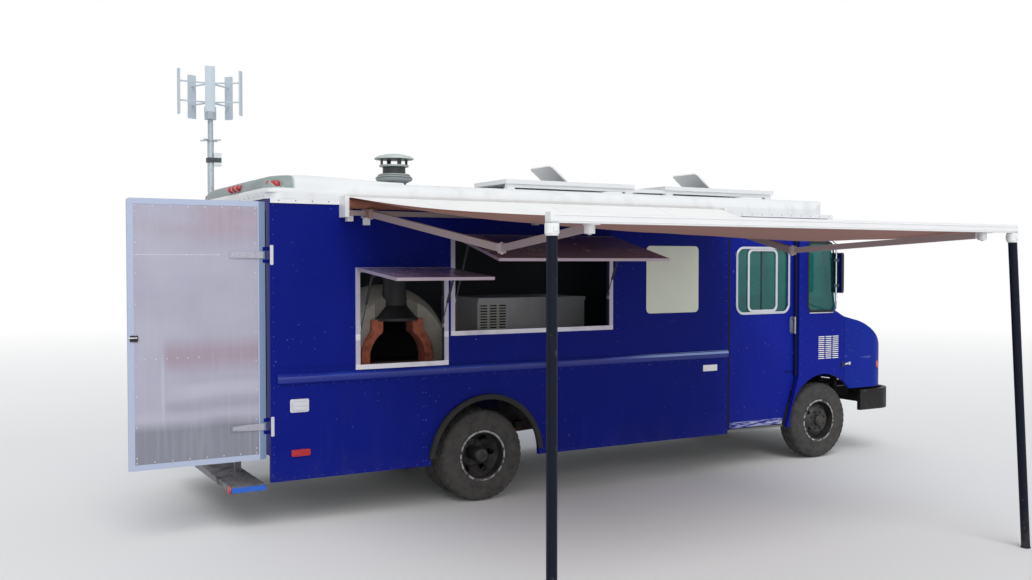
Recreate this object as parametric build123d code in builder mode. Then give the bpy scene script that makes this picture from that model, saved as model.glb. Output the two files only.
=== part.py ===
from math import atan2, cos, degrees, hypot, radians, sin
import os
from build123d import *

# Step van turned into a food truck, in millimetres. Stations run forward from the rear wall,
# sideways from the right wall to the left one, and up from the ground.

# Body
body_width = 2120
cargo_length = 4542
wall = 40
skirt_z = 370
wall_top = 2540
floor_top = 760
floor_thick = 60
sliding_gap = 12
fit_gap = 0.3
clear = 6

# Wheels
wheelbase_rear = 1865
wheelbase = 3992
tyre_r = 393
tyre_width = 205
rim_r = 205
wheel_inset = 60
dual_pitch = 245
spindle_r = 30
hub_gap = 0.5
steer_angle = 32
kingpin_inset = 312
kingpin_r = 18

# Wheel arches
rear_arch_r = 520
front_arch_r = 480
arch_z = 410
lip_proud = 34

# Side hatches: name, rear edge, front edge, lower edge, upper edge
hatches = [
    ("oven", 685, 1502, 1201, 2013),
    ("serving", 1525, 3166, 1441, 2288),
]
hatch_frame = 38
hatch_proud = 10
lid_thick = 24
lid_hinge_y = -28
lid_barrel_r = 9
lid_neck = 16
lid_angles = {"oven": 5, "serving": 14}
strut_arm = 200
strut_drop = {"oven": 470, "serving": 540}
strut_lift = 36
strut_inset = 16
strut_seat_y = 12
strut_tube_r = 10
strut_rod_r = 4.5
strut_pin_r = 4
strut_eye_r = 9
strut_eye_width = 9

# Rub rail
rail_low = 1122
rail_high = 1192
rail_proud = 18

# Rear doors
door_pin_x = -30
door_pin_y = 56
rear_leaf_start = 14
rear_leaf_width = 976
rear_leaf_low = 549
rear_leaf_high = 2517
rear_leaf_back = -46
rear_leaf_thick = 40
rear_post = 62
hinge_heights = (800, 2110)

# Cab
cab_door_front = 5489
cab_door_low = 402
cab_door_corner = 880
cab_door_low_front = 5312
cab_door_high = 2400
cab_door_lap = 26
cab_leaf_thick = 36
cab_header = 2362
firewall_x = 6145
cowl = (6098, 1505)
roof_front_x = 5965
pillar_r = 130
cab_door_slide = 780
cab_panel_rear = cab_door_front + 6
cab_leaf_length = cab_door_front - cargo_length + cab_door_lap
track_rear = cab_door_front - cab_door_slide - cab_leaf_length - 20
track_z = cab_door_high + clear
door_pocket_y = wall + sliding_gap + cab_leaf_thick + clear

# Nose
nose_gap = 6
nose_low = 715
nose_front = 6850
nose_corner_r = 280
nose_wall = 30
nose_pin = (6788, 745)
nose_pin_y = 430
nose_pin_r = 9

# Roof
cap_overhang = 8
cap_flange = 52
cap_rise = 195
cap_crown = wall_top + cap_rise
cap_shoulder = 105
cap_front_x = 5985
cap_front_r = 350
cap_rear_r = 110
cap_wall = 28

# Frame rails
rail_z = 480
rail_depth = 200
rail_width = 70
rail_half = 430
rail_front_x = 6600
rail_rear_x = 60.3

# Springs
rear_spring_reach = 640
front_spring_reach = 560
spring_width = 64
spring_end = 26

# Bumpers
bumper_front = 6965
bumper_low = 470
bumper_high = 688
bumper_r = 260
bumper_wall = 45
step_reach = 290
step_top = 350
step_thick = 48

# Oven and chimney
oven_x = 1190
oven_y = 700
oven_r = 570
oven_lift = 100
oven_front_y = 360
hearth_z = 1190
arch_face_y = 330
arch_depth = 190
arch_inner_r = 255
arch_brick = 68
gallery_half = 137
gallery_brick = 96
gallery_top = 1575
flue_y = 400
flue_r = 85
hood_r = 195
hood_top = 1690
chimney_r = 100
chimney_rise = 237
chimney_top = cap_crown + chimney_rise
chimney_cap_r = 165

# Awning
awning_rear = 554
awning_front = 4407
awning_reach = 3144
awning_axis_y = -78
awning_axis_z = 2515
awning_roller_r = 44
awning_rail_z = 2290
awning_rail_half = 28
awning_sag = 130
cloth_thick = 10
torsion_z = 2440
torsion_half = 20
arm_height = 52
arm_depth = 34
post_r = 30
post_collar = 7

# Roof vents and panels
vent_size = 380
vent_y = 1640
vents = [("rear", 3500), ("front", 5430)]
vent_angle = 38
vent_curb = 45
panel_starts = (2470, 4350)
panel_length = 1490
panel_width = 650
panel_low_y = 745
panel_lift = 60
panel_z = cap_crown + panel_lift
panel_thick = 38

# Wind turbine
mast_x = 80
mast_r = 30
mast_gap = 40
mast_foot = 1300
mast_top = 3400
rotor_r = 290
blade_chord = 90
blade_height = 415
blade_root = 5
blade_start = 40.7
rotor_low = 3435
blades = 5

# Datum
front_wheel_x = wheelbase_rear + wheelbase
axle_z = tyre_r
half_width = body_width / 2
engine_y = (half_width - 300, half_width + 300)
reach_back = -(door_pin_x - rear_leaf_start - rear_leaf_width)
left_blade = radians(blade_start + 360 / blades)
rotor_reach = (rotor_r + blade_root) * sin(left_blade) - blade_chord / 2 * cos(left_blade)
reach_left = body_width + mast_gap + mast_r + rotor_reach
reach_right = awning_reach + post_r + post_collar
rear_x = (reach_back - bumper_front) / 2
right_y = (reach_right - reach_left) / 2


def at(x, y, z):
    """The place of a station, given from the rear wall, the right wall and the ground."""
    return (rear_x + x, right_y + y, z)


def side(y):
    """An upright plane along the truck: sketch x runs forward, sketch y up."""
    return Plane(origin=at(0, y, 0), x_dir=(1, 0, 0), z_dir=(0, -1, 0))


def plan(z):
    """A level plane: sketch x runs forward, sketch y to the left."""
    return Plane(origin=at(0, 0, z), x_dir=(1, 0, 0), z_dir=(0, 0, 1))


def across(x):
    """An upright plane across the truck: sketch x runs to the left, sketch y up."""
    return Plane(origin=at(x, 0, 0), x_dir=(0, 1, 0), z_dir=(1, 0, 0))


middle = Plane(origin=at(0, half_width, 0), x_dir=(1, 0, 0), z_dir=(0, 1, 0))


def slab(low, high, mode=Mode.ADD):
    """A block between two corners, for the part or sketch that is open."""
    size = [b - a for a, b in zip(low, high)]
    centre = [(a + b) / 2 for a, b in zip(low, high)]
    if len(low) == 2:
        with Locations(tuple(centre)):
            Rectangle(*size, mode=mode)
    else:
        with Locations(at(*centre)):
            Box(*size, mode=mode)


def rod(start, end, radius, mode=Mode.ADD):
    """A round bar between two stations."""
    a = Vector(*at(*start))
    b = Vector(*at(*end))
    with BuildSketch(Plane(origin=a, z_dir=b - a)) as profile:
        Circle(radius)
    extrude(profile.sketch, amount=(b - a).length, mode=mode)


def bar(start, end, width, height, up=(0, 0, 1)):
    """A square bar between two stations, with its height turned towards up."""
    a = Vector(*at(*start))
    b = Vector(*at(*end))
    run = (b - a).normalized()
    with BuildSketch(Plane(origin=a, x_dir=Vector(*up).cross(run), z_dir=run)) as profile:
        Rectangle(width, height)
    extrude(profile.sketch, amount=(b - a).length)


def hub_axis(x):
    """The axis that a wheel turns about, to the left."""
    return Axis(at(x, 0, axle_z), (0, 1, 0))


os.makedirs("parts", exist_ok=True)


# Chassis

with BuildPart() as chassis_frame:
    for sign in (-1, 1):
        y = half_width + sign * (rail_half - rail_width / 2)
        with BuildSketch(across(rail_rear_x)):
            with Locations((y, rail_z + rail_depth / 2)):
                Rectangle(rail_width, rail_depth)
            with Locations((y - sign * 8, rail_z + rail_depth / 2)):
                Rectangle(rail_width, rail_depth - 16, mode=Mode.SUBTRACT)
        extrude(amount=rail_front_x - rail_rear_x)
    for x in (110, 1250, 2450, 3300, 4300, 5350, 6500):
        slab(
            (x - 35, half_width - rail_half + 8, rail_z + 125),
            (x + 35, half_width + rail_half - 8, rail_z + 195),
        )
    for sign in (-1, 1):
        for x in (wheelbase_rear - rear_spring_reach, wheelbase_rear + rear_spring_reach):
            y = half_width + sign * rail_half
            slab(
                (x - 45, min(y, y + sign * 78), rail_z + spring_end + fit_gap),
                (x + 45, max(y, y + sign * 78), rail_z + 95),
            )
    for near, far in (
        (half_width - rail_half + 8, engine_y[0] - fit_gap),
        (engine_y[1] + fit_gap, half_width + rail_half - 8),
    ):
        slab((5850, near, rail_z + 120), (5950, far, rail_z + 180))
chassis_frame.part.label = "chassis_frame"
export_step(chassis_frame.part, "parts/chassis_frame.step")

# Leaf springs: axle station, half length, place from the middle, underside at axle, top of ends
spring_sets = [
    (wheelbase_rear, rear_spring_reach, rail_half + 42, axle_z + 62, rail_z + spring_end),
    (front_wheel_x, front_spring_reach, rail_half - 38, axle_z - 2, rail_z - fit_gap),
]
with BuildPart() as leaf_springs:
    for x, reach, offset_y, seat, end_z in spring_sets:
        for sign in (-1, 1):
            with BuildSketch(side(half_width + sign * offset_y + spring_width / 2)):
                with BuildLine():
                    ThreePointArc((x - reach, end_z - 16), (x, seat), (x + reach, end_z - 16))
                    Line((x + reach, end_z - 16), (x + reach, end_z))
                    ThreePointArc((x + reach, end_z), (x, seat + 44), (x - reach, end_z))
                    Line((x - reach, end_z), (x - reach, end_z - 16))
                make_face()
            extrude(amount=spring_width)
leaf_springs.part.label = "leaf_springs"
export_step(leaf_springs.part, "parts/leaf_springs.step")

# Axles: the rear one with its differential, spring pads and shaft to the engine, and the front beam,
# dropped between its kingpin eyes
axle_tube_r = 55
differential_r = 172
drum_inner_y = wheel_inset + dual_pitch + tyre_width - 40
beam_top = axle_z - 2 - fit_gap
with BuildPart() as axles:
    with BuildSketch(across(wheelbase_rear)):
        with BuildLine():
            Polyline(
                (half_width, axle_z),
                (wheel_inset + 40, axle_z),
                (wheel_inset + 40, axle_z + spindle_r),
                (drum_inner_y + clear, axle_z + spindle_r),
                (drum_inner_y + clear, axle_z + axle_tube_r),
                (half_width - 210, axle_z + axle_tube_r),
                (half_width - 90, axle_z + differential_r),
                (half_width, axle_z + differential_r),
                close=True,
            )
        make_face()
    revolve(axis=hub_axis(wheelbase_rear))
    mirror(about=middle)
    rod((wheelbase_rear, half_width, axle_z), (wheelbase_rear + 270, half_width, axle_z), 84)
    for sign in (-1, 1):
        y = half_width + sign * (rail_half + 42)
        slab(
            (wheelbase_rear - 80, y - 36, axle_z),
            (wheelbase_rear + 80, y + 36, axle_z + 62 - fit_gap),
        )
    rod((wheelbase_rear + 262, half_width, axle_z), (5572, half_width, 560), 36)
    with BuildSketch(across(front_wheel_x - 32)):
        with BuildLine():
            Polyline(
                (kingpin_inset, axle_z - 38),
                (kingpin_inset + 60, axle_z - 38),
                (kingpin_inset + 190, beam_top - 78),
                (body_width - kingpin_inset - 190, beam_top - 78),
                (body_width - kingpin_inset - 60, axle_z - 38),
                (body_width - kingpin_inset, axle_z - 38),
                (body_width - kingpin_inset, axle_z + 38),
                (body_width - kingpin_inset - 60, axle_z + 38),
                (body_width - kingpin_inset - 190, beam_top),
                (kingpin_inset + 190, beam_top),
                (kingpin_inset + 60, axle_z + 38),
                (kingpin_inset, axle_z + 38),
                close=True,
            )
        make_face()
    extrude(amount=64)
    for y in (kingpin_inset, body_width - kingpin_inset):
        rod((front_wheel_x, y, axle_z - 38), (front_wheel_x, y, axle_z + 38), 36)
        rod(
            (front_wheel_x, y, axle_z - 40),
            (front_wheel_x, y, axle_z + 40),
            kingpin_r + hub_gap,
            mode=Mode.SUBTRACT,
        )
axles.part.label = "axles"
export_step(axles.part, "parts/axles.step")

# Steering knuckles: a yoke round the beam's eye, its kingpin, the spindle and the steering arm
with BuildPart() as knuckle_right:
    for low, high in ((axle_z - 72, axle_z - 40), (axle_z + 40, axle_z + 72)):
        rod((front_wheel_x, kingpin_inset, low), (front_wheel_x, kingpin_inset, high), 34)
        slab(
            (front_wheel_x - 30, kingpin_inset - 64, low),
            (front_wheel_x + 30, kingpin_inset, high),
        )
    rod(
        (front_wheel_x, kingpin_inset, axle_z - 72),
        (front_wheel_x, kingpin_inset, axle_z + 72),
        kingpin_r,
    )
    slab(
        (front_wheel_x - 42, kingpin_inset - 64, axle_z - 72),
        (front_wheel_x + 42, kingpin_inset - 44, axle_z + 72),
    )
    rod(
        (front_wheel_x, kingpin_inset - 50, axle_z),
        (front_wheel_x, wheel_inset + 22, axle_z),
        spindle_r,
    )
    bar(
        (front_wheel_x, kingpin_inset, axle_z - 60),
        (front_wheel_x - 190, kingpin_inset + 30, axle_z - 60),
        34,
        22,
    )
knuckle_right.part.label = "knuckle_right"
export_step(knuckle_right.part, "parts/knuckle_right.step")

with BuildPart() as knuckle_left:
    mirror(knuckle_right.part, about=middle)
knuckle_left.part.label = "knuckle_left"
export_step(knuckle_left.part, "parts/knuckle_left.step")


# Wheels

def tyre_section(x, y):
    """One tyre, its middle at a sideways place y."""
    w = tyre_width / 2
    bead = rim_r + fit_gap
    with BuildSketch(across(x)) as profile:
        with BuildLine():
            Polyline(
                (y - w + 22, axle_z - bead),
                (y - w, axle_z - bead - 70),
                (y - w + 8, axle_z - tyre_r + 32),
                (y - w + 30, axle_z - tyre_r + 4),
                (y, axle_z - tyre_r),
                (y + w - 30, axle_z - tyre_r + 4),
                (y + w - 8, axle_z - tyre_r + 32),
                (y + w, axle_z - bead - 70),
                (y + w - 22, axle_z - bead),
                close=True,
            )
        make_face()
    revolve(profile.sketch, axis=hub_axis(x))


def rim_section(x, y, face):
    """One disc rim; face is the sideways place of its bolted disc."""
    half = tyre_width / 2 - 22
    skin = 9
    with BuildSketch(across(x)) as profile:
        slab((y - half - 5, axle_z - rim_r), (y + half + 5, axle_z - rim_r + skin))
        slab((y - half - 13, axle_z - rim_r - 12), (y - half - 5, axle_z - rim_r + skin))
        slab((y + half + 5, axle_z - rim_r - 12), (y + half + 13, axle_z - rim_r + skin))
        with BuildLine():
            turn = 1 if face > y else -1
            Polyline(
                (y, axle_z - rim_r + skin - 2),
                (y + 12 * turn, axle_z - rim_r + skin - 2),
                (face, axle_z - 120),
                (face, axle_z - 40),
                (face - 10 * turn, axle_z - 40),
                (face - 10 * turn, axle_z - 112),
                close=True,
            )
        make_face()
    revolve(profile.sketch, axis=hub_axis(x))


front_tyre_y = wheel_inset + tyre_width / 2
rear_tyre_ys = (wheel_inset + tyre_width / 2, wheel_inset + tyre_width / 2 + dual_pitch)
dual_face_y = sum(rear_tyre_ys) / 2

with BuildPart() as tyre_front_right:
    tyre_section(front_wheel_x, front_tyre_y)
with BuildPart() as tyre_rear_right:
    for tyre_y in rear_tyre_ys:
        tyre_section(wheelbase_rear, tyre_y)


def hand_holes(x, y_low, y_high, circle_r, hole_r, count):
    """Round holes through a wheel disc, set on a circle."""
    with BuildSketch(side(y_low)) as profile:
        with Locations((x, axle_z)):
            with PolarLocations(circle_r, count):
                Circle(hole_r)
    extrude(profile.sketch, amount=-(y_high - y_low), mode=Mode.SUBTRACT)


# The front disc bows outward and carries a tall hub with a cap
with BuildPart() as rim_front_right:
    rim_section(front_wheel_x, front_tyre_y, wheel_inset + 26)
    with BuildSketch(across(front_wheel_x)):
        with BuildLine():
            Polyline(
                (wheel_inset - 14, axle_z),
                (wheel_inset - 14, axle_z - 44),
                (wheel_inset - 2, axle_z - 56),
                (wheel_inset + 40, axle_z - 62),
                (wheel_inset + 60, axle_z - 80),
                (wheel_inset + 60, axle_z - 150),
                (wheel_inset + 150, axle_z - 150),
                (wheel_inset + 150, axle_z - spindle_r - hub_gap),
                (wheel_inset + 18, axle_z - spindle_r - hub_gap),
                (wheel_inset + 18, axle_z),
                close=True,
            )
        make_face()
    revolve(axis=hub_axis(front_wheel_x))
    hand_holes(front_wheel_x, wheel_inset - 20, wheel_inset + 56, 150, 24, 5)

# The rear pair bolts back to back, outer disc dished in, with a hub through the middle
with BuildPart() as rim_rear_right:
    rim_section(wheelbase_rear, rear_tyre_ys[0], dual_face_y)
    rim_section(wheelbase_rear, rear_tyre_ys[1], dual_face_y)
    with BuildSketch(across(wheelbase_rear)):
        with BuildLine():
            Polyline(
                (wheel_inset + 20, axle_z),
                (wheel_inset + 20, axle_z - 50),
                (wheel_inset + 32, axle_z - 60),
                (dual_face_y, axle_z - 64),
                (dual_face_y + 30, axle_z - 80),
                (dual_face_y + 40, axle_z - 165),
                (drum_inner_y, axle_z - 165),
                (drum_inner_y, axle_z - spindle_r - hub_gap),
                (wheel_inset + 36, axle_z - spindle_r - hub_gap),
                (wheel_inset + 36, axle_z),
                close=True,
            )
        make_face()
    revolve(axis=hub_axis(wheelbase_rear))
    hand_holes(wheelbase_rear, wheel_inset, dual_face_y + 28, 150, 26, 6)

with BuildPart() as tyre_front_left:
    mirror(tyre_front_right.part, about=middle)
with BuildPart() as tyre_rear_left:
    mirror(tyre_rear_right.part, about=middle)
with BuildPart() as rim_front_left:
    mirror(rim_front_right.part, about=middle)
with BuildPart() as rim_rear_left:
    mirror(rim_rear_right.part, about=middle)

wheels = {
    "tyre_front_right": tyre_front_right,
    "tyre_front_left": tyre_front_left,
    "tyre_rear_right": tyre_rear_right,
    "tyre_rear_left": tyre_rear_left,
    "rim_front_right": rim_front_right,
    "rim_front_left": rim_front_left,
    "rim_rear_right": rim_rear_right,
    "rim_rear_left": rim_rear_left,
}
for name, piece in wheels.items():
    piece.part.label = name
    export_step(piece.part, f"parts/{name}.step")

with BuildPart() as engine_block:
    slab((5580, engine_y[0], 525), (6330, engine_y[1], 1190))
engine_block.part.label = "engine_block"
export_step(engine_block.part, "parts/engine_block.step")

with BuildPart() as exhaust:
    rod((5400, half_width + 210, 440), (3900, half_width + 210, 420), 28)
    for x, low in ((4300, 430), (3300, 500)):
        rod((x, half_width + 210, low), (x, half_width + 210, rail_z + 125 - fit_gap), 7)
    rod((3900, half_width + 210, 420), (3250, half_width + 210, 420), 90)
    rod((3250, half_width + 210, 420), (2700, half_width + 300, 420), 28)
    rod((2720, half_width + 297, 420), (2560, body_width - wall - 60, 420), 28)
exhaust.part.label = "exhaust"
export_step(exhaust.part, "parts/exhaust.step")

with BuildPart() as fuel_tank:
    slab((3350, door_pocket_y + clear, 400), (4250, half_width - rail_half - fit_gap, 690))
    fillet(fuel_tank.edges().filter_by(Axis.X), radius=50)
fuel_tank.part.label = "fuel_tank"
export_step(fuel_tank.part, "parts/fuel_tank.step")


# Floor deck, cut out for the wheel boxes, the engine, the entry steps and the sliding doors

box_top = floor_top + 170
box_rear = wheelbase_rear - 470
box_front = wheelbase_rear + 470
box_inner_y = 640
front_box_x = 5330
front_box_top = 960
well_rear = 4600
well_front = 5290
well_y = 380
well_z = cab_door_low - clear
plate = 20
engine_bay_y = (half_width - 310, half_width + 310)
engine_bay_x = 5470
floor_bottom = floor_top - floor_thick
floor_front = firewall_x - wall - 1
pocket_rear = track_rear + 10


def each_side(near, far):
    """A sideways span beside the right wall, and its mirror beside the left one."""
    return ((near, far), (body_width - far, body_width - near))


with BuildPart() as floor:
    slab((fit_gap, wall, floor_bottom), (floor_front, body_width - wall, floor_top))
    for near, far, rear, front in (
        (wall - 1, box_inner_y - plate, box_rear + plate, box_front - plate),
        (wall - 1, box_inner_y - plate, front_box_x + plate, firewall_x),
        (wall - 1, well_y + plate, well_rear - plate, well_front + plate),
        (wall - 1, door_pocket_y, pocket_rear, cab_panel_rear),
    ):
        for low_y, high_y in each_side(near, far):
            slab((rear, low_y, 0), (front, high_y, floor_top + 1), Mode.SUBTRACT)
    slab((engine_bay_x, engine_bay_y[0], 0), (firewall_x, engine_bay_y[1], floor_top + 1), Mode.SUBTRACT)
floor.part.label = "floor"
export_step(floor.part, "parts/floor.step")

# Wheel boxes on the deck, open below and towards the walls
with BuildPart() as wheel_boxes:
    for low_y, high_y in each_side(wall, box_inner_y):
        slab((box_rear, low_y, floor_top + fit_gap), (box_front, high_y, box_top))
        slab((front_box_x, low_y, floor_top + fit_gap), (floor_front, high_y, front_box_top))
    for low_y, high_y in each_side(wall - 1, box_inner_y - plate):
        slab((box_rear + plate, low_y, 0), (box_front - plate, high_y, box_top - plate), Mode.SUBTRACT)
        slab((front_box_x + plate, low_y, 0), (firewall_x, high_y, front_box_top - plate), Mode.SUBTRACT)
    for low_y, high_y in each_side(wall - 1, door_pocket_y):
        slab((pocket_rear, low_y, 0), (cab_panel_rear, high_y, front_box_top + 1), Mode.SUBTRACT)
wheel_boxes.part.label = "wheel_boxes"
export_step(wheel_boxes.part, "parts/wheel_boxes.step")

# Entry steps: trays hung in the deck behind the sliding doors
with BuildPart() as entry_steps:
    for low_y, high_y in each_side(wall, well_y + plate - fit_gap):
        slab(
            (well_rear - plate + fit_gap, low_y, well_z - plate),
            (well_front + plate - fit_gap, high_y, floor_top),
        )
    for low_y, high_y in each_side(wall - 1, well_y):
        slab((well_rear, low_y, well_z), (well_front, high_y, floor_top + 1), Mode.SUBTRACT)
    for low_y, high_y in each_side(wall - 1, door_pocket_y):
        slab((pocket_rear, low_y, well_z), (cab_panel_rear, high_y, floor_top + 1), Mode.SUBTRACT)
entry_steps.part.label = "entry_steps"
export_step(entry_steps.part, "parts/entry_steps.step")

# Engine cover beside the driver, with the dash shelf, the instrument hood and the steering column
cover_top = 1290
cover_x = 5400
dash_front = 5850
dash_outline = [(5860, 1330), (6060, 1291), (6060, 1500), (5900, 1480), (dash_front, 1400)]
seat_x = 5020
seat_y = body_width - 590
wheel_tilt = 32
column_lean = radians(wheel_tilt)
column_head = (5560, seat_y, 1490)
column_run = (column_head[2] - front_box_top - 14) / cos(column_lean)
column_foot_x = column_head[0] + column_run * sin(column_lean)
column_bracket_x = column_head[0] + (column_head[2] - 1380) * sin(column_lean) / cos(column_lean)
with BuildPart() as engine_cover:
    slab((cover_x, engine_bay_y[0] - 20, floor_top + fit_gap), (6040, engine_bay_y[1] + 20, cover_top))
    slab(
        (cover_x + plate, engine_bay_y[0], 0),
        (6100, engine_bay_y[1], cover_top - plate),
        mode=Mode.SUBTRACT,
    )
    with BuildSketch(side(wall + fit_gap)):
        Polygon(*dash_outline, align=None)
    extrude(amount=-(body_width - 2 * wall - 2 * fit_gap))
    rod(
        (column_head[0] + column_run * sin(column_lean), seat_y, column_head[2] - column_run * cos(column_lean)),
        (column_head[0] + 40 * sin(column_lean), seat_y, column_head[2] - 40 * cos(column_lean)),
        24,
    )
    slab(
        (column_foot_x - 50, seat_y - 45, front_box_top + fit_gap),
        (column_foot_x + 50, seat_y + 45, front_box_top + 22),
    )
    slab((column_bracket_x, seat_y - 14, 1362), (dash_front + 4, seat_y + 14, 1398))
engine_cover.part.label = "engine_cover"
export_step(engine_cover.part, "parts/engine_cover.step")


# Side walls

def wall_panel(face_y, inward, cutouts, frames):
    """A cargo side wall above its skirt, with its rub rail, bead and hatch openings."""
    with BuildSketch(side(face_y)) as skin:
        slab((0, rail_low), (cargo_length, wall_top))
        for name, rear, front, low, high in cutouts:
            slab(
                (rear + hatch_frame, low + hatch_frame),
                (front - hatch_frame, high - hatch_frame),
                mode=Mode.SUBTRACT,
            )
    extrude(skin.sketch, amount=-wall * inward)
    with BuildSketch(side(face_y)) as rails:
        slab((50, rail_low), (cargo_length, rail_high))
    extrude(rails.sketch, amount=rail_proud * inward)
    with BuildSketch(side(face_y)) as bead:
        slab((50, rail_high + 46), (frames, rail_high + 54))
    extrude(bead.sketch, amount=5 * inward)


with BuildPart() as side_wall_right:
    wall_panel(0, 1, hatches, hatches[0][1] - 1)
side_wall_right.part.label = "side_wall_right"
export_step(side_wall_right.part, "parts/side_wall_right.step")

with BuildPart() as side_wall_left:
    wall_panel(body_width, -1, [], cargo_length)
side_wall_left.part.label = "side_wall_left"
export_step(side_wall_left.part, "parts/side_wall_left.step")

# Skirts below the rub rails, riveted on in three lengths a side, the middle one cut round the wheel
skirt_ends = (0, wheelbase_rear - 580, wheelbase_rear + 580, cargo_length)
with BuildPart() as skirt_panels:
    for near, far in each_side(0, wall):
        for rear, front in zip(skirt_ends, skirt_ends[1:]):
            slab((rear + fit_gap / 2, near, skirt_z), (front - fit_gap / 2, far, rail_low - fit_gap))
    with BuildSketch(side(-1)):
        with Locations((wheelbase_rear, arch_z - 20)):
            Circle(rear_arch_r)
    extrude(amount=-(body_width + 2), mode=Mode.SUBTRACT)
skirt_panels.part.label = "skirt_panels"
export_step(skirt_panels.part, "parts/skirt_panels.step")

with BuildPart() as hatch_frames:
    for name, rear, front, low, high in hatches:
        with BuildSketch(side(-fit_gap)):
            slab((rear, low), (front, high))
            slab(
                (rear + hatch_frame, low + hatch_frame),
                (front - hatch_frame, high - hatch_frame),
                mode=Mode.SUBTRACT,
            )
        extrude(amount=hatch_proud - fit_gap)
        hinge_z = high - 12
        slab(
            (rear + 10, lid_hinge_y + lid_barrel_r + 0.5, hinge_z - 9),
            (front - 10, -hatch_proud, hinge_z + 9),
        )
        for x in (rear + hatch_frame, front - hatch_frame):
            turn = 1 if x < (rear + front) / 2 else -1
            seat = (x, strut_seat_y, hinge_z - strut_drop[name])
            slab(
                (min(x, x + turn * 5), -hatch_proud, seat[2] - 16),
                (max(x, x + turn * 5), strut_seat_y + 14, seat[2] + 16),
            )
            rod(seat, (x + turn * (strut_inset + strut_eye_width / 2), seat[1], seat[2]), strut_pin_r)
hatch_frames.part.label = "hatch_frames"
export_step(hatch_frames.part, "parts/hatch_frames.step")

# Black lips round the rear wheel arches
with BuildPart() as arch_lips:
    for y in (-lip_proud, body_width + fit_gap):
        with BuildSketch(side(y)):
            with Locations((wheelbase_rear, arch_z - 20)):
                Circle(rear_arch_r + 22)
                Circle(rear_arch_r - 20, mode=Mode.SUBTRACT)
            slab((1000, -300), (3000, skirt_z + 60), Mode.SUBTRACT)
        extrude(amount=-(lip_proud - fit_gap))
arch_lips.part.label = "arch_lips"
export_step(arch_lips.part, "parts/arch_lips.step")

# Rear portal: corner posts, header and sill, with a fixed hinge pin at each strap
with BuildPart() as rear_portal:
    with BuildSketch(across(0)):
        slab((wall, floor_bottom - 130), (body_width - wall, wall_top))
        slab(
            (wall + rear_post, floor_top),
            (body_width - wall - rear_post, wall_top - 92),
            mode=Mode.SUBTRACT,
        )
    extrude(amount=60)
    slab(
        (fit_gap / 2, wall, floor_bottom - fit_gap),
        (62, body_width - wall, floor_top + fit_gap),
        mode=Mode.SUBTRACT,
    )
    slab((0, wall, floor_bottom - 130), (60, body_width - wall, floor_bottom - fit_gap))
    for z in hinge_heights:
        for sign, pin_y in ((1, door_pin_y), (-1, body_width - door_pin_y)):
            for low, high in ((z - 62, z - 34), (z + 34, z + 62)):
                rod((door_pin_x, pin_y, low), (door_pin_x, pin_y, high), 12)
                slab((door_pin_x, pin_y - 7, low), (0, pin_y + 7, high))
            rod((door_pin_x, pin_y, z - 40), (door_pin_x, pin_y, z + 40), 6)
rear_portal.part.label = "rear_portal"
export_step(rear_portal.part, "parts/rear_portal.step")


# Rear doors: the right one stands open, the left one is closed

def rear_leaf():
    """The right door in its closed place, against the portal."""
    start = door_pin_y + rear_leaf_start
    low = (rear_leaf_back, start, rear_leaf_low)
    high = (rear_leaf_back + rear_leaf_thick, start + rear_leaf_width, rear_leaf_high)
    slab(low, high)
    slab(
        (low[0] - 1, low[1] + 42, low[2] + 42),
        (low[0] + 2, high[1] - 42, high[2] - 42),
        mode=Mode.SUBTRACT,
    )
    for z in hinge_heights:
        slab((rear_leaf_back - 6, door_pin_y + 4, z - 26), (rear_leaf_back, start + 250, z + 26))
        rod((door_pin_x, door_pin_y, z - 32), (door_pin_x, door_pin_y, z + 32), 13)
        slab((rear_leaf_back - 6, door_pin_y, z - 26), (door_pin_x, start + 6, z + 26))
        rod(
            (door_pin_x, door_pin_y, z - 33),
            (door_pin_x, door_pin_y, z + 33),
            6 + hub_gap,
            mode=Mode.SUBTRACT,
        )


door_pin = Axis(at(door_pin_x, door_pin_y, 0), (0, 0, 1))
with BuildPart() as closed_leaf:
    rear_leaf()
    fillet(closed_leaf.edges().filter_by(Axis.X).group_by(Axis.Z)[-1], radius=18)
with BuildPart() as rear_door_right:
    add(closed_leaf.part.rotate(door_pin, 90))
rear_door_right.part.label = "rear_door_right"
export_step(rear_door_right.part, "parts/rear_door_right.step")

with BuildPart() as rear_door_left:
    mirror(closed_leaf.part, about=middle)
    lap_y = body_width - door_pin_y - rear_leaf_start - rear_leaf_width
    slab((rear_leaf_back + 34, lap_y - 20, 600), (rear_leaf_back + 40, lap_y + 1, 2470))
rear_door_left.part.label = "rear_door_left"
export_step(rear_door_left.part, "parts/rear_door_left.step")


# Roof cap: a crowned shell with round shoulders and round corners in plan

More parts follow.
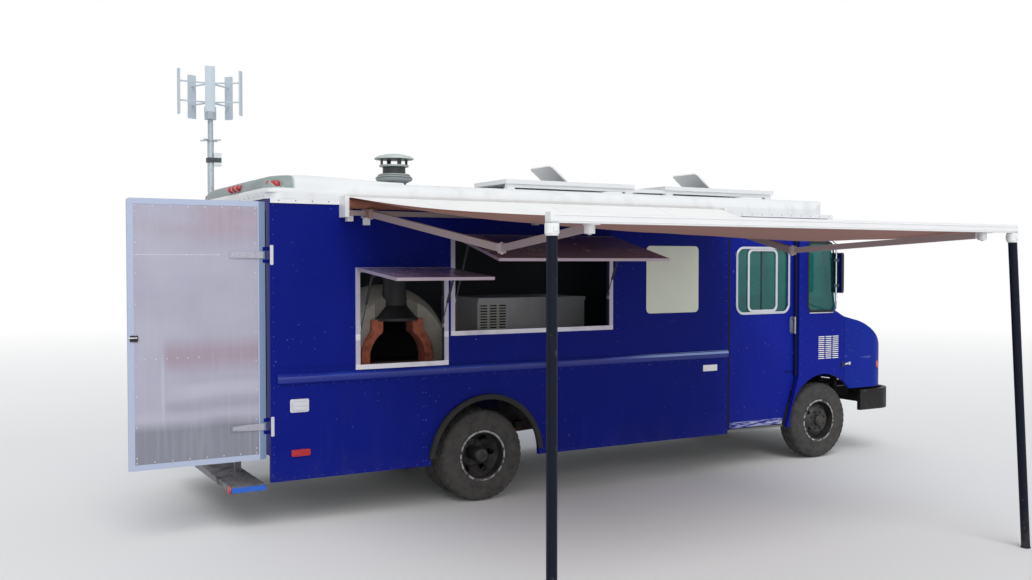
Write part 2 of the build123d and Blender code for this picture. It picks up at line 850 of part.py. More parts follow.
def cap_form(inset):
    """The cap's outer form, or its inner one set in by the wall's thickness."""
    low = wall_top if inset == 0 else wall_top - 1
    crown = cap_crown - inset
    edge = -cap_overhang + inset
    far = body_width + cap_overhang - inset
    rear = inset - 16
    front = cap_front_x - inset
    shoulder = wall_top + cap_flange
    ledge = 3
    with BuildPart() as form:
        with BuildSketch(across(-90)):
            with BuildLine():
                Polyline((far + 60, low), (edge - 60, low), (edge - 60, shoulder), (edge + ledge, shoulder))
                ThreePointArc(
                    (edge + ledge, shoulder),
                    (edge + 34, shoulder + 62),
                    (edge + cap_shoulder, crown - 45),
                )
                ThreePointArc(
                    (edge + cap_shoulder, crown - 45),
                    (half_width, crown),
                    (far - cap_shoulder, crown - 45),
                )
                ThreePointArc(
                    (far - cap_shoulder, crown - 45),
                    (far - 34, shoulder + 62),
                    (far - ledge, shoulder),
                )
                Polyline((far - ledge, shoulder), (far + 60, shoulder), (far + 60, low))
            make_face()
        extrude(amount=cap_front_x + 120)
        with BuildSketch(side(-60)):
            with BuildLine():
                Polyline((rear - 60, low), (rear - 60, shoulder), (rear + ledge, shoulder))
                Line((rear + ledge, shoulder), (rear + 10, shoulder + 40))
                ThreePointArc(
                    (rear + 10, shoulder + 40),
                    (rear + 46, crown - 40),
                    (rear + 136, crown + 5),
                )
                Line((rear + 136, crown + 5), (cap_front_x - 420, crown + 5))
                ThreePointArc(
                    (cap_front_x - 420, crown + 5),
                    (front - 160, crown - 38),
                    (front - ledge, shoulder),
                )
                Polyline(
                    (front - ledge, shoulder),
                    (front + 60, shoulder),
                    (front + 60, low),
                    (rear - 60, low),
                )
            make_face()
        extrude(amount=-(body_width + 120), mode=Mode.INTERSECT)
        with BuildSketch(plan(low)):
            slab((rear, edge), (front, far))
            fillet(vertices().sort_by(Axis.X)[2:], radius=cap_front_r - inset)
            fillet(vertices().sort_by(Axis.X)[:2], radius=cap_rear_r - inset)
        extrude(amount=cap_crown, mode=Mode.INTERSECT)
    return form.part


vent_half = vent_size / 2
vent_barrel_r = 9
vent_pin_z = cap_crown + vent_curb + 12
with BuildPart() as roof_cap:
    add(cap_form(0))
    add(cap_form(cap_wall), mode=Mode.SUBTRACT)
    with BuildSketch(plan(wall_top)):
        for name, x in vents:
            with Locations((x, vent_y)):
                Rectangle(vent_size, vent_size)
        with Locations((oven_x, flue_y)):
            Circle(chimney_r + fit_gap)
    extrude(amount=300, mode=Mode.SUBTRACT)
    with BuildSketch(plan(wall_top + 118)):
        for name, x in vents:
            with Locations((x, vent_y)):
                Rectangle(vent_size + 24, vent_size + 24)
                Rectangle(vent_size, vent_size, mode=Mode.SUBTRACT)
    extrude(amount=cap_crown + vent_curb - wall_top - 118)
    for name, x in vents:
        slab(
            (x + vent_half + 12, vent_y - 150, cap_crown - 30),
            (x + vent_half + 28, vent_y + 150, vent_pin_z - vent_barrel_r - 0.4),
        )
roof_cap.part.label = "roof_cap"
export_step(roof_cap.part, "parts/roof_cap.step")


# Vent lids stand open on a hinge along their front edge

for name, x in vents:
    with BuildPart() as vent_lid:
        lid_plane = Plane(
            origin=at(x + vent_half + 20, vent_y, vent_pin_z),
            x_dir=(0, 1, 0),
            z_dir=(sin(radians(vent_angle)), 0, cos(radians(vent_angle))),
        )
        with BuildSketch(lid_plane):
            with Locations((0, vent_half + 20)):
                RectangleRounded(vent_size + 50, vent_size + 40, 30)
        extrude(amount=16)
        rod(
            (x + vent_half + 20, vent_y - 150, vent_pin_z),
            (x + vent_half + 20, vent_y + 150, vent_pin_z),
            vent_barrel_r,
        )
    vent_lid.part.label = f"roof_vent_lid_{name}"
    export_step(vent_lid.part, f"parts/roof_vent_lid_{name}.step")


# Cab shell: side panels ahead of the doors, door headers, windscreen wall and bulkhead

screen_base = cowl
screen_head = (roof_front_x, wall_top)
screen_lean = degrees(atan2(screen_base[0] - screen_head[0], screen_head[1] - screen_base[1]))
screen_plane = Plane(
    origin=at(screen_base[0], half_width, screen_base[1]),
    x_dir=(0, 1, 0),
    z_dir=(cos(radians(screen_lean)), 0, sin(radians(screen_lean))),
)
pane_width = 880
pane_height = 720
pane_rise = 440
pane_offset = 465
quarter_low = (5622, 1550)
quarter_high = (6022, 2255)
quarter_lean = 60


def quarter_outline(gap):
    """The small side window beside the windscreen, its front edge leaning with the pillar."""
    with BuildSketch() as outline:
        with BuildLine():
            Polyline(
                (quarter_low[0] + gap, quarter_low[1] + gap),
                (quarter_high[0] - gap, quarter_low[1] + gap),
                (quarter_high[0] - quarter_lean - gap, quarter_high[1] - gap),
                (quarter_low[0] + gap, quarter_high[1] - gap),
                close=True,
            )
        make_face()
        fillet(outline.vertices(), radius=55 - gap)
    return outline.sketch


with BuildPart() as cab_front:
    with BuildSketch(side(0)):
        with BuildLine():
            Polyline(
                (cargo_length + 1, cab_header),
                (cab_panel_rear, cab_header),
                (cab_panel_rear, cab_door_corner),
                (cab_door_low_front + 26, skirt_z + 18),
                (cab_door_low_front + 26, skirt_z),
                (firewall_x, skirt_z),
                (firewall_x, cowl[1] - 24),
                cowl,
                screen_head,
                (cargo_length + 1, wall_top),
                close=True,
            )
        make_face()
        with Locations((front_wheel_x, arch_z)):
            Circle(front_arch_r, mode=Mode.SUBTRACT)
    extrude(amount=-body_width)
    pillars = cab_front.edges().filter_by(
        lambda e: abs((e @ 0).Z - (e @ 1).Z) > 900 and abs(e.center().X - rear_x - 6030) < 40
    )
    fillet(pillars, radius=pillar_r)
    with BuildSketch(side(wall)):
        Polygon(
            (cargo_length - 50, 200),
            (firewall_x - wall, 200),
            (firewall_x - wall, cowl[1] - 40),
            (cowl[0] - wall - 4, cowl[1]),
            (roof_front_x - wall - 4, wall_top + 10),
            (cargo_length - 50, wall_top + 10),
            align=None,
        )
    extrude(amount=-(body_width - 2 * wall), mode=Mode.SUBTRACT)
    slab((front_wheel_x, wall, 200), (firewall_x + 1, body_width - wall, 962), mode=Mode.SUBTRACT)
    slab(
        (front_wheel_x, engine_bay_y[0], 900),
        (firewall_x + 1, engine_bay_y[1], cover_top - plate),
        mode=Mode.SUBTRACT,
    )
    with BuildSketch(side(-10)):
        add(quarter_outline(0))
    extrude(amount=-(body_width + 20), mode=Mode.SUBTRACT)
    with BuildSketch(screen_plane):
        with Locations((-pane_offset, pane_rise + 90), (pane_offset, pane_rise + 90)):
            RectangleRounded(pane_width, pane_height, 60)
    extrude(amount=90, both=True, mode=Mode.SUBTRACT)
    for near, far in (
        (wall + fit_gap, wall + 8),
        (body_width - wall - 8, body_width - wall - fit_gap),
    ):
        slab((track_rear, near, track_z + 14), (cab_panel_rear + 10, far, track_z + 34))
    for near, far in ((wall - 1, wall + 8), (body_width - wall - 8, body_width - wall + 1)):
        slab((cargo_length + 1, near, track_z + 14), (cab_panel_rear + 10, far, track_z + 34))
    for near, far in (
        (wall + 7, door_pocket_y),
        (body_width - door_pocket_y, body_width - wall - 7),
    ):
        slab((track_rear, near, track_z), (cab_panel_rear + 10, far, track_z + 34))
cab_front.part.label = "cab_front"
export_step(cab_front.part, "parts/cab_front.step")

with BuildPart() as cab_glass:
    with BuildSketch(screen_plane.offset(-20)):
        with Locations((-pane_offset, pane_rise + 90), (pane_offset, pane_rise + 90)):
            RectangleRounded(pane_width - 2 * fit_gap, pane_height - 2 * fit_gap, 60 - fit_gap)
    extrude(amount=6)
    for y in (18, body_width - 24):
        with BuildSketch(side(y + 6)):
            add(quarter_outline(fit_gap))
        extrude(amount=6)
cab_glass.part.label = "cab_glass"
export_step(cab_glass.part, "parts/cab_glass.step")


# Nose that tilts forward: the shell, its arch ends, grille opening and lamp holes

nose_rear = firewall_x + nose_gap
lamp_offset = 650
lamp_rise = 250
lamp_r = 92
grille_width = 800
grille_height = 300
grille_rise = 235
grille_bars = 7
nose_brow = (6765, 1120)
nose_slope = atan2(nose_front - nose_brow[0], nose_brow[1] - nose_low)
nose_face = Plane(
    origin=at(nose_front, half_width, nose_low),
    x_dir=(0, 1, 0),
    z_dir=(cos(nose_slope), 0, sin(nose_slope)),
)


def nose_form(inset):
    """The nose's outer form, or its inner one set in by the skin's thickness."""
    rear = nose_rear if inset == 0 else nose_rear - 10
    low = nose_low if inset == 0 else nose_low - 10
    front = nose_front - inset
    with BuildPart() as form:
        with BuildSketch(side(inset)):
            with BuildLine():
                Polyline((rear, low), (rear, cowl[1] - 24 - inset), (6290, 1448 - inset))
                ThreePointArc(
                    (6290, 1448 - inset),
                    (6590 - inset * 0.7, 1316 - inset * 0.7),
                    (nose_brow[0] - inset, nose_brow[1]),
                )
                Polyline((nose_brow[0] - inset, nose_brow[1]), (front, low), (rear, low))
            make_face()
        extrude(amount=-(body_width - 2 * inset))
        with BuildSketch(plan(low)):
            slab((rear, inset), (front, body_width - inset))
            fillet(vertices().sort_by(Axis.X)[2:], radius=nose_corner_r - inset)
        extrude(amount=900, mode=Mode.INTERSECT)
    return form.part


with BuildPart() as hood:
    add(nose_form(0))
    add(nose_form(nose_wall), mode=Mode.SUBTRACT)
    with BuildSketch(side(-10)):
        with Locations((front_wheel_x, arch_z)):
            Circle(front_arch_r)
    extrude(amount=-(body_width + 20), mode=Mode.SUBTRACT)
    with BuildSketch(nose_face):
        with Locations((0, grille_rise)):
            RectangleRounded(grille_width, grille_height, 30)
        with Locations((-lamp_offset, lamp_rise), (lamp_offset, lamp_rise)):
            Circle(lamp_r)
    extrude(amount=200, both=True, mode=Mode.SUBTRACT)
    for y in (half_width - nose_pin_y, half_width + nose_pin_y):
        slab((nose_pin[0] - 18, y - 12, nose_pin[1] - 18), (nose_front - 20, y + 12, nose_pin[1] + 18))
        rod(
            (nose_pin[0], y - 13, nose_pin[1]),
            (nose_pin[0], y + 13, nose_pin[1]),
            nose_pin_r + hub_gap,
            mode=Mode.SUBTRACT,
        )
hood.part.label = "hood"
export_step(hood.part, "parts/hood.step")

with BuildPart() as grille:
    with BuildSketch(nose_face.offset(-nose_wall + 2)):
        with Locations((0, grille_rise)):
            RectangleRounded(grille_width - 2 * fit_gap, grille_height - 2 * fit_gap, 30)
            RectangleRounded(grille_width - 36, grille_height - 36, 16, mode=Mode.SUBTRACT)
            with GridLocations(0, (grille_height - 40) / grille_bars, 1, grille_bars):
                Rectangle(grille_width - 30, 18)
            Rectangle(14, grille_height - 30)
    extrude(amount=nose_wall + 4)
grille.part.label = "grille"
export_step(grille.part, "parts/grille.step")


# Cab doors slide back inside the cargo walls

cab_leaf_y = wall + sliding_gap
door_window = (4691, 1534, 5406, 2206)
handle_x = 5448
with BuildPart() as cab_door_right:
    with BuildSketch(side(cab_leaf_y)):
        Polygon(
            (cargo_length - cab_door_lap, cab_door_low),
            (cab_door_low_front, cab_door_low),
            (cab_door_front, cab_door_corner),
            (cab_door_front, cab_door_high),
            (cargo_length - cab_door_lap, cab_door_high),
            align=None,
        )
        with Locations(
            ((door_window[0] + door_window[2]) / 2, (door_window[1] + door_window[3]) / 2)
        ):
            RectangleRounded(
                door_window[2] - door_window[0] - 36,
                door_window[3] - door_window[1] - 36,
                72,
                mode=Mode.SUBTRACT,
            )
    extrude(amount=-cab_leaf_thick)
    for x in (cargo_length + 60, cab_door_front - 160):
        slab(
            (x, cab_leaf_y + 10, cab_door_high - 1),
            (x + 90, cab_leaf_y + 26, track_z - fit_gap),
        )
    with BuildSketch(side(cab_leaf_y)):
        with Locations(
            ((door_window[0] + door_window[2]) / 2, (door_window[1] + door_window[3]) / 2)
        ):
            RectangleRounded(door_window[2] - door_window[0], door_window[3] - door_window[1], 90)
            RectangleRounded(
                door_window[2] - door_window[0] - 36,
                door_window[3] - door_window[1] - 36,
                72,
                mode=Mode.SUBTRACT,
            )
    extrude(amount=5)
    for z in (1335, 1480):
        rod((handle_x, cab_leaf_y, z), (handle_x, 6, z), 9)
    rod((handle_x, 10, 1322), (handle_x, 10, 1495), 10)
cab_door_right.part.label = "cab_door_right"
export_step(cab_door_right.part, "parts/cab_door_right.step")

with BuildPart() as cab_door_left:
    mirror(cab_door_right.part, about=middle)
cab_door_left.part.label = "cab_door_left"
export_step(cab_door_left.part, "parts/cab_door_left.step")

with BuildPart() as door_glass_right:
    with BuildSketch(side(cab_leaf_y + 22)):
        with Locations(
            ((door_window[0] + door_window[2]) / 2, (door_window[1] + door_window[3]) / 2)
        ):
            RectangleRounded(
                door_window[2] - door_window[0] - 36 - 2 * fit_gap,
                door_window[3] - door_window[1] - 36 - 2 * fit_gap,
                72 - fit_gap,
            )
    extrude(amount=6)
door_glass_right.part.label = "door_glass_right"
export_step(door_glass_right.part, "parts/door_glass_right.step")

with BuildPart() as door_glass_left:
    mirror(door_glass_right.part, about=middle)
door_glass_left.part.label = "door_glass_left"
export_step(door_glass_left.part, "parts/door_glass_left.step")


# Hatch lids stand open on gas struts

for name, rear, front, low, high in hatches:
    hinge_z = high - 12
    droop = radians(lid_angles[name])
    lid_plane = Plane(
        origin=at(0, lid_hinge_y, hinge_z),
        x_dir=(1, 0, 0),
        z_dir=(0, sin(droop), -cos(droop)),
    )
    length = high - low - 16
    strut_xs = (rear + hatch_frame + strut_inset, front - hatch_frame - strut_inset)
    arm_y = lid_hinge_y - strut_arm * cos(droop) + strut_lift * sin(droop)
    arm_z = hinge_z - strut_arm * sin(droop) - strut_lift * cos(droop)
    seat_z = hinge_z - strut_drop[name]
    open_length = hypot(strut_seat_y - arm_y, arm_z - seat_z)
    shut_length = hypot(
        strut_seat_y - lid_hinge_y - strut_lift, strut_drop[name] - strut_arm
    )
    along_y = (strut_seat_y - arm_y) / open_length
    along_z = (seat_z - arm_z) / open_length

    with BuildPart() as lid:
        with BuildSketch(lid_plane.offset(-lid_thick / 2)):
            with Locations(((rear + front) / 2, (lid_neck + length) / 2)):
                Rectangle(front - rear - 8, length - lid_neck)
        extrude(amount=lid_thick)
        with BuildSketch(lid_plane.offset(-4)):
            with Locations(((rear + front) / 2, lid_neck / 2)):
                Rectangle(front - rear - 40, lid_neck)
        extrude(amount=8)
        rod(
            (rear + 20, lid_hinge_y, hinge_z),
            (front - 20, lid_hinge_y, hinge_z),
            lid_barrel_r,
        )
        for x in strut_xs:
            turn = 1 if x < (rear + front) / 2 else -1
            with BuildSketch(lid_plane.offset(lid_thick / 2 - 1)):
                with Locations((x + turn * 14, strut_arm)):
                    Rectangle(7, 30)
            extrude(amount=strut_lift - lid_thick / 2 + 10)
            rod((x - turn * 5, arm_y, arm_z), (x + turn * 14, arm_y, arm_z), strut_pin_r)
    lid.part.label = f"{name}_lid"
    export_step(lid.part, f"parts/{name}_lid.step")

    with BuildPart() as tubes:
        for x in strut_xs:
            half = strut_eye_width / 2
            rod((x - half, arm_y, arm_z), (x + half, arm_y, arm_z), strut_eye_r)
            rod(
                (x, arm_y + 6 * along_y, arm_z + 6 * along_z),
                (
                    x,
                    arm_y + (shut_length - strut_eye_r - 4) * along_y,
                    arm_z + (shut_length - strut_eye_r - 4) * along_z,
                ),
                strut_tube_r,
            )
            rod(
                (x, arm_y + 14 * along_y, arm_z + 14 * along_z),
                (x, arm_y + shut_length * along_y, arm_z + shut_length * along_z),
                strut_rod_r + hub_gap,
                mode=Mode.SUBTRACT,
            )
            rod(
                (x - 12, arm_y, arm_z),
                (x + 12, arm_y, arm_z),
                strut_pin_r + fit_gap,
                mode=Mode.SUBTRACT,
            )
    tubes.part.label = f"{name}_strut_tubes"
    export_step(tubes.part, f"parts/{name}_strut_tubes.step")

    with BuildPart() as rods:
        for x in strut_xs:
            half = strut_eye_width / 2
            inner = open_length - shut_length + 18
            rod((x - half, strut_seat_y, seat_z), (x + half, strut_seat_y, seat_z), strut_eye_r)
            rod(
                (x, arm_y + inner * along_y, arm_z + inner * along_z),
                (x, strut_seat_y - 5 * along_y, seat_z - 5 * along_z),
                strut_rod_r,
            )
            rod(
                (x - 12, strut_seat_y, seat_z),
                (x + 12, strut_seat_y, seat_z),
                strut_pin_r + fit_gap,
                mode=Mode.SUBTRACT,
            )
    rods.part.label = f"{name}_strut_rods"
    export_step(rods.part, f"parts/{name}_strut_rods.step")


# Bumpers

with BuildPart() as front_bumper:
    for inset, mode in ((0, Mode.ADD), (bumper_wall, Mode.SUBTRACT)):
        with BuildSketch(plan(bumper_low)):
            slab((6400 - inset, inset), (bumper_front - inset, body_width - inset))
            fillet(vertices().sort_by(Axis.X)[2:], radius=bumper_r - inset)
        extrude(amount=bumper_high - bumper_low, mode=mode)
    for sign in (-1, 1):
        y = half_width + sign * (rail_half - rail_width / 2)
        slab((rail_front_x + fit_gap, y - 30, 540), (bumper_front - bumper_wall + 5, y + 30, 640))
        pin_y = half_width + sign * nose_pin_y
        for near, far in ((pin_y - 30, pin_y - 14), (pin_y + 14, pin_y + 30)):
            slab((6640, near, 560), (6690, far, nose_pin[1] + 14))
            slab((6640, near, nose_pin[1] - 14), (nose_pin[0] + 14, far, nose_pin[1] + 14))
        rod(
            (nose_pin[0], pin_y - 28, nose_pin[1]),
            (nose_pin[0], pin_y + 28, nose_pin[1]),
            nose_pin_r,
        )
        slab((6640, min(y, pin_y) - 30, 560), (6690, max(y, pin_y) + 30, 640))
front_bumper.part.label = "front_bumper"
export_step(front_bumper.part, "parts/front_bumper.step")

with BuildPart() as rear_step:
    slab((-step_reach, 70, step_top - step_thick), (-20, body_width - 70, step_top))
    for sign in (-1, 1):
        y = half_width + sign * (rail_half - rail_width / 2)
        slab((-110, y - 25, step_top - fit_gap), (-60, y + 25, rail_z - fit_gap))
        slab((-110, y - 25, rail_z - 14), (240, y + 25, rail_z - fit_gap))
rear_step.part.label = "rear_step"
export_step(rear_step.part, "parts/rear_step.step")


# Oven: a plastered dome with a brick arch, a flue gallery and hood, on its stand behind the first hatch

flue_foot = wall_top - 500
stand_x = (600, 1780)
stand_y = (150, 1330)
stand_legs = [
    (stand_x[0] + 40, stand_y[0] + 40, floor_top),
    (stand_x[0] + 40, stand_y[1] - 40, floor_top),
    (stand_x[1] - 40, stand_y[0] + 40, box_top),
    (stand_x[1] - 40, stand_y[1] - 40, floor_top),
]
with BuildPart() as oven_stand:
    slab((stand_x[0], stand_y[0], hearth_z - 60), (stand_x[1], stand_y[1], hearth_z - fit_gap))
    for x, y, foot in stand_legs:
        slab((x - 40, y - 40, foot + fit_gap), (x + 40, y + 40, hearth_z - 60))
    slab((stand_x[0] + 40, stand_y[0] + 40, 900), (box_rear - 20, stand_y[1] - 40, 930))
oven_stand.part.label = "oven_stand"
export_step(oven_stand.part, "parts/oven_stand.step")

with BuildPart() as oven:
    with Locations(at(oven_x, oven_y, hearth_z + oven_lift)):
        Sphere(oven_r)
    for low, high in (
        ((0, 0, 0), (2000, 2000, hearth_z)),
        ((0, 0, 0), (2000, oven_front_y, 2500)),
        ((0, oven_y + oven_r - 30, 0), (2000, 2000, 2500)),
    ):
        slab(low, high, Mode.SUBTRACT)
    with BuildSketch(side(arch_face_y)):
        arch_outer_r = arch_inner_r + arch_brick
        gallery_outer = gallery_half + gallery_brick
        with Locations((oven_x, hearth_z + 60)):
            Circle(arch_outer_r)
        slab((oven_x - arch_outer_r, hearth_z), (oven_x + arch_outer_r, hearth_z + 60))
        slab((oven_x - gallery_outer, hearth_z), (oven_x + gallery_outer, gallery_top))
        slab((oven_x - 600, hearth_z - 600), (oven_x + 600, hearth_z), Mode.SUBTRACT)
    extrude(amount=-arch_depth)
    with Locations(at(oven_x, flue_y, (gallery_top + hood_top) / 2)):
        Cone(hood_r, flue_r + 14, hood_top - gallery_top)
    rod((oven_x, flue_y, hood_top - 1), (oven_x, flue_y, flue_foot), flue_r + 14)
    with Locations(at(oven_x, flue_y, (gallery_top + hood_top) / 2)):
        Cone(hood_r - 10, flue_r, hood_top - gallery_top, mode=Mode.SUBTRACT)
    rod((oven_x, flue_y, gallery_top), (oven_x, flue_y, flue_foot + 1), flue_r, Mode.SUBTRACT)
    with BuildSketch(side(arch_face_y - 1)):
        with Locations((oven_x, hearth_z + 60)):
            Circle(arch_inner_r)
        slab((oven_x - arch_inner_r, hearth_z), (oven_x + arch_inner_r, hearth_z + 60))
        slab((oven_x - 600, hearth_z - 600), (oven_x + 600, hearth_z), Mode.SUBTRACT)
    extrude(amount=-(oven_y - arch_face_y), mode=Mode.SUBTRACT)
    slab(
        (oven_x - gallery_half, arch_face_y - 1, hearth_z + 60),
        (oven_x + gallery_half, arch_face_y + arch_depth - 40, gallery_top + 1),
        Mode.SUBTRACT,
    )
    with Locations(at(oven_x, oven_y + 30, hearth_z + 60)):
        Sphere(oven_r - 130, mode=Mode.SUBTRACT)
    slab((oven_x - 500, 200, hearth_z - 500), (oven_x + 500, 1300, hearth_z), Mode.SUBTRACT)
oven.part.label = "oven"
export_step(oven.part, "parts/oven.step")

# Flue pipe through the roof, with a collar and a rain cap on straps
flue_axis = Axis(at(oven_x, flue_y, 0), (0, 0, 1))
flue_bore = chimney_r - 16
with BuildPart() as chimney:
    with BuildSketch(across(oven_x)):
        with BuildLine():
            Polyline(
                (flue_y + flue_bore, flue_foot + fit_gap),
                (flue_y + chimney_r, flue_foot + fit_gap),
                (flue_y + chimney_r, 2722),
                (flue_y + 150, 2745),
                (flue_y + 158, 2762),
                (flue_y + 128, 2800),
                (flue_y + 96, 2802),
                (flue_y + 96, 2862),
                (flue_y + 124, 2862),
                (flue_y + 124, 2876),
                (flue_y + flue_bore, 2876),
                close=True,
            )
        make_face()
    revolve(axis=flue_axis)
    with BuildSketch(plan(2870)):
        with Locations((oven_x, flue_y)):
            with PolarLocations(112, 4):
                Rectangle(10, 34)
    extrude(amount=60)
    with BuildSketch(across(oven_x)):
        with BuildLine():
            Polyline(
                (flue_y, 2925),
                (flue_y + chimney_cap_r, 2925),
                (flue_y + chimney_cap_r, 2936),
                (flue_y + chimney_cap_r - 30, 2951),
                (flue_y + chimney_cap_r - 85, chimney_top - 6),
                (flue_y, chimney_top),
                close=True,
            )
        make_face()
    revolve(axis=flue_axis)
chimney.part.label = "chimney"
export_step(chimney.part, "parts/chimney.step")

# Cold counter across the cargo room, ending short of the door's pocket: worktop, cabinet,
# vent panel, two doors with pulls, and a plinth set back at the foot
counter_rear = 2440
counter_front = track_rear - 16
counter_face = 1270
counter_back = body_width - wall - fit_gap
counter_top = 1700
counter_skin = 12
with BuildPart() as prep_counter:
    slab((counter_rear, counter_face, 860), (counter_front, counter_back, counter_top - 40))
    slab((counter_rear, counter_face - 20, counter_top - 40), (counter_front, counter_back, counter_top))
    slab(
        (counter_rear + 20, counter_face + 50, floor_top + fit_gap),
        (counter_front - 20, counter_back - 20, 861),
    )
    slab(
        (counter_rear + counter_skin, counter_face + counter_skin, 860 + counter_skin),
        (counter_front - counter_skin, counter_back - counter_skin, counter_top - 40 - counter_skin),
        Mode.SUBTRACT,
    )
    slab(
        (counter_rear + 32, counter_face + 62, 0),
        (counter_front - 32, counter_back - 32, 861 + counter_skin),
        Mode.SUBTRACT,
    )
    slab((counter_rear + 18, counter_face - 6, 880), (counter_rear + 334, counter_face + 1, 1640))
    for x in (counter_rear + 352, counter_rear + 798):
        slab((x, counter_face - 10, 880), (x + 436, counter_face + 1, 1640))
        slab((x + 30, counter_face - 30, 1596), (x + 406, counter_face - 9, 1612))
prep_counter.part.label = "prep_counter"
export_step(prep_counter.part, "parts/prep_counter.step")

# Driver's seat on its pedestal, inboard of the left entry step
with BuildPart() as driver_seat:
    slab((seat_x - 60, seat_y - 60, floor_top + fit_gap), (seat_x + 60, seat_y + 60, 1130))
    slab((seat_x - 230, seat_y - 235, 1130), (seat_x + 240, seat_y + 235, 1230))
    with BuildSketch(side(seat_y - 225)):
        Polygon(
            (seat_x - 230, 1170),
            (seat_x - 120, 1170),
            (seat_x - 210, 1800),
            (seat_x - 300, 1800),
            align=None,
        )
    extrude(amount=-450)
driver_seat.part.label = "driver_seat"
export_step(driver_seat.part, "parts/driver_seat.step")

# Steering wheel: a rim of eight-sided section, three spokes and a hub above the column
wheel_r = 215
wheel_rim_r = 15
with BuildPart() as steering_wheel:
    wheel_plane = Plane(
        origin=at(*column_head),
        x_dir=(0, 1, 0),
        z_dir=(-sin(column_lean), 0, cos(column_lean)),
    )
    rim_plane = Plane(
        origin=wheel_plane.origin,
        x_dir=(0, 1, 0),
        z_dir=(cos(column_lean), 0, sin(column_lean)),
    )
    with BuildSketch(rim_plane):
        with Locations((wheel_r, 0)):
            RegularPolygon(wheel_rim_r, 8, rotation=22.5)
    revolve(axis=Axis(wheel_plane.origin, wheel_plane.z_dir))
    with BuildSketch(wheel_plane.offset(-39)):
        Circle(45)
    extrude(amount=49)
    with BuildSketch(wheel_plane.offset(-14)):
        with PolarLocations(120, 3, start_angle=90):
            Rectangle(190, 26)
    extrude(amount=12)
steering_wheel.part.label = "steering_wheel"
export_step(steering_wheel.part, "parts/steering_wheel.step")


# Awning: roller and torsion bar on wall brackets, folding arms, front rail, cloth and posts

arm_joints = [
    ((780, -120, 2432), (1130, -1600, 2150), (850, -awning_reach + 60, 2244)),
    ((4180, -120, 2432), (3810, -1600, 2150), (4140, -awning_reach + 60, 2244)),
]
with BuildPart() as awning_frame:
    rod(
        (awning_rear + 30, awning_axis_y, awning_axis_z),
        (awning_front - 30, awning_axis_y, awning_axis_z),
        awning_roller_r,
    )
    for x in (awning_rear, awning_front - 34):
        slab((x, awning_axis_y - 58, torsion_z - 34), (x + 34, -fit_gap, wall_top - fit_gap))
        slab(
            (x, awning_axis_y - 58, torsion_z),
            (x + 34, -cap_overhang - fit_gap, awning_axis_z + 56),
        )
    slab(
        (awning_rear + 20, awning_axis_y - torsion_half, torsion_z - torsion_half),
        (awning_front - 20, awning_axis_y + torsion_half, torsion_z + torsion_half),
    )
    for x in (780, 2480, 4180):
        slab((x - 45, awning_axis_y - 34, torsion_z - 34), (x + 45, -fit_gap, torsion_z + 28))
        slab((x - 30, -8, torsion_z - 90), (x + 30, -fit_gap, torsion_z + 60))
    for shoulder, elbow, wrist in arm_joints:
        bar(shoulder, elbow, arm_depth, arm_height)
        bar(elbow, wrist, arm_depth - 6, arm_height - 8)
        for x, y, z in (shoulder, elbow, wrist):
            rod((x, y, z - 34), (x, y, z + 34), 30)
    slab(
        (awning_rear, -awning_reach - awning_rail_half, awning_rail_z - awning_rail_half),
        (awning_front, -awning_reach + awning_rail_half, awning_rail_z + awning_rail_half),
    )
    for x in (850, 4140):
        slab(
            (x - 30, -awning_reach, awning_rail_z - 34),
            (x + 30, -awning_reach + 80, awning_rail_z - 10),
        )
awning_frame.part.label = "awning_frame"
export_step(awning_frame.part, "parts/awning_frame.step")

cloth_low = (-awning_reach + awning_rail_half + fit_gap, awning_rail_z + 6)
cloth_high = (awning_axis_y - awning_roller_r * 0.3, awning_axis_z + awning_roller_r + fit_gap)
cloth_mid = (
    (cloth_low[0] + cloth_high[0]) / 2,
    (cloth_low[1] + cloth_high[1]) / 2 - awning_sag,
)
with BuildPart() as awning_cloth:
    with BuildSketch(across(awning_rear + 40)):
        with BuildLine():
            ThreePointArc(cloth_low, cloth_mid, cloth_high)
            Line(cloth_high, (cloth_high[0], cloth_high[1] + cloth_thick))
            ThreePointArc(
                (cloth_high[0], cloth_high[1] + cloth_thick),
                (cloth_mid[0], cloth_mid[1] + cloth_thick),
                (cloth_low[0], cloth_low[1] + cloth_thick),
            )
            Line((cloth_low[0], cloth_low[1] + cloth_thick), cloth_low)
        make_face()
    extrude(amount=awning_front - awning_rear - 80)
awning_cloth.part.label = "awning_cloth"
export_step(awning_cloth.part, "parts/awning_cloth.step")

post_top = awning_rail_z - awning_rail_half - fit_gap
with BuildPart() as awning_posts:
    for x, lean in ((awning_rear + 20, 0), (awning_front - 20, 200)):
        rod((x + lean, -awning_reach, 3), (x, -awning_reach, post_top - 20), post_r)
        rod((x + lean, -awning_reach, 0), (x + lean, -awning_reach, 8), post_r + 4)
        rod((x, -awning_reach, post_top - 52), (x, -awning_reach, post_top), post_r + post_collar)
awning_posts.part.label = "awning_posts"
export_step(awning_posts.part, "parts/awning_posts.step")


# Solar panels on two low rails

with BuildPart() as solar_panels:
    for start in panel_starts:
        slab(
            (start, panel_low_y, panel_z),
            (start + panel_length, panel_low_y + panel_width, panel_z + panel_thick),
        )
    for y in (panel_low_y + 20, panel_low_y + panel_width - 60):
        slab(
            (panel_starts[0] + 20, y, panel_z - 34),
            (panel_starts[1] + panel_length - 20, y + 40, panel_z),
        )
        for start in panel_starts:
            for x in (start + 60, start + panel_length - 60):
                slab((x - 45, y - 6, cap_crown - 6), (x + 45, y + 46, panel_z - 34))
    add(cap_form(0), mode=Mode.SUBTRACT)
solar_panels.part.label = "solar_panels"
export_step(solar_panels.part, "parts/solar_panels.step")


# Wind turbine: mast clamped to the left wall, junction box, guy ring and generator

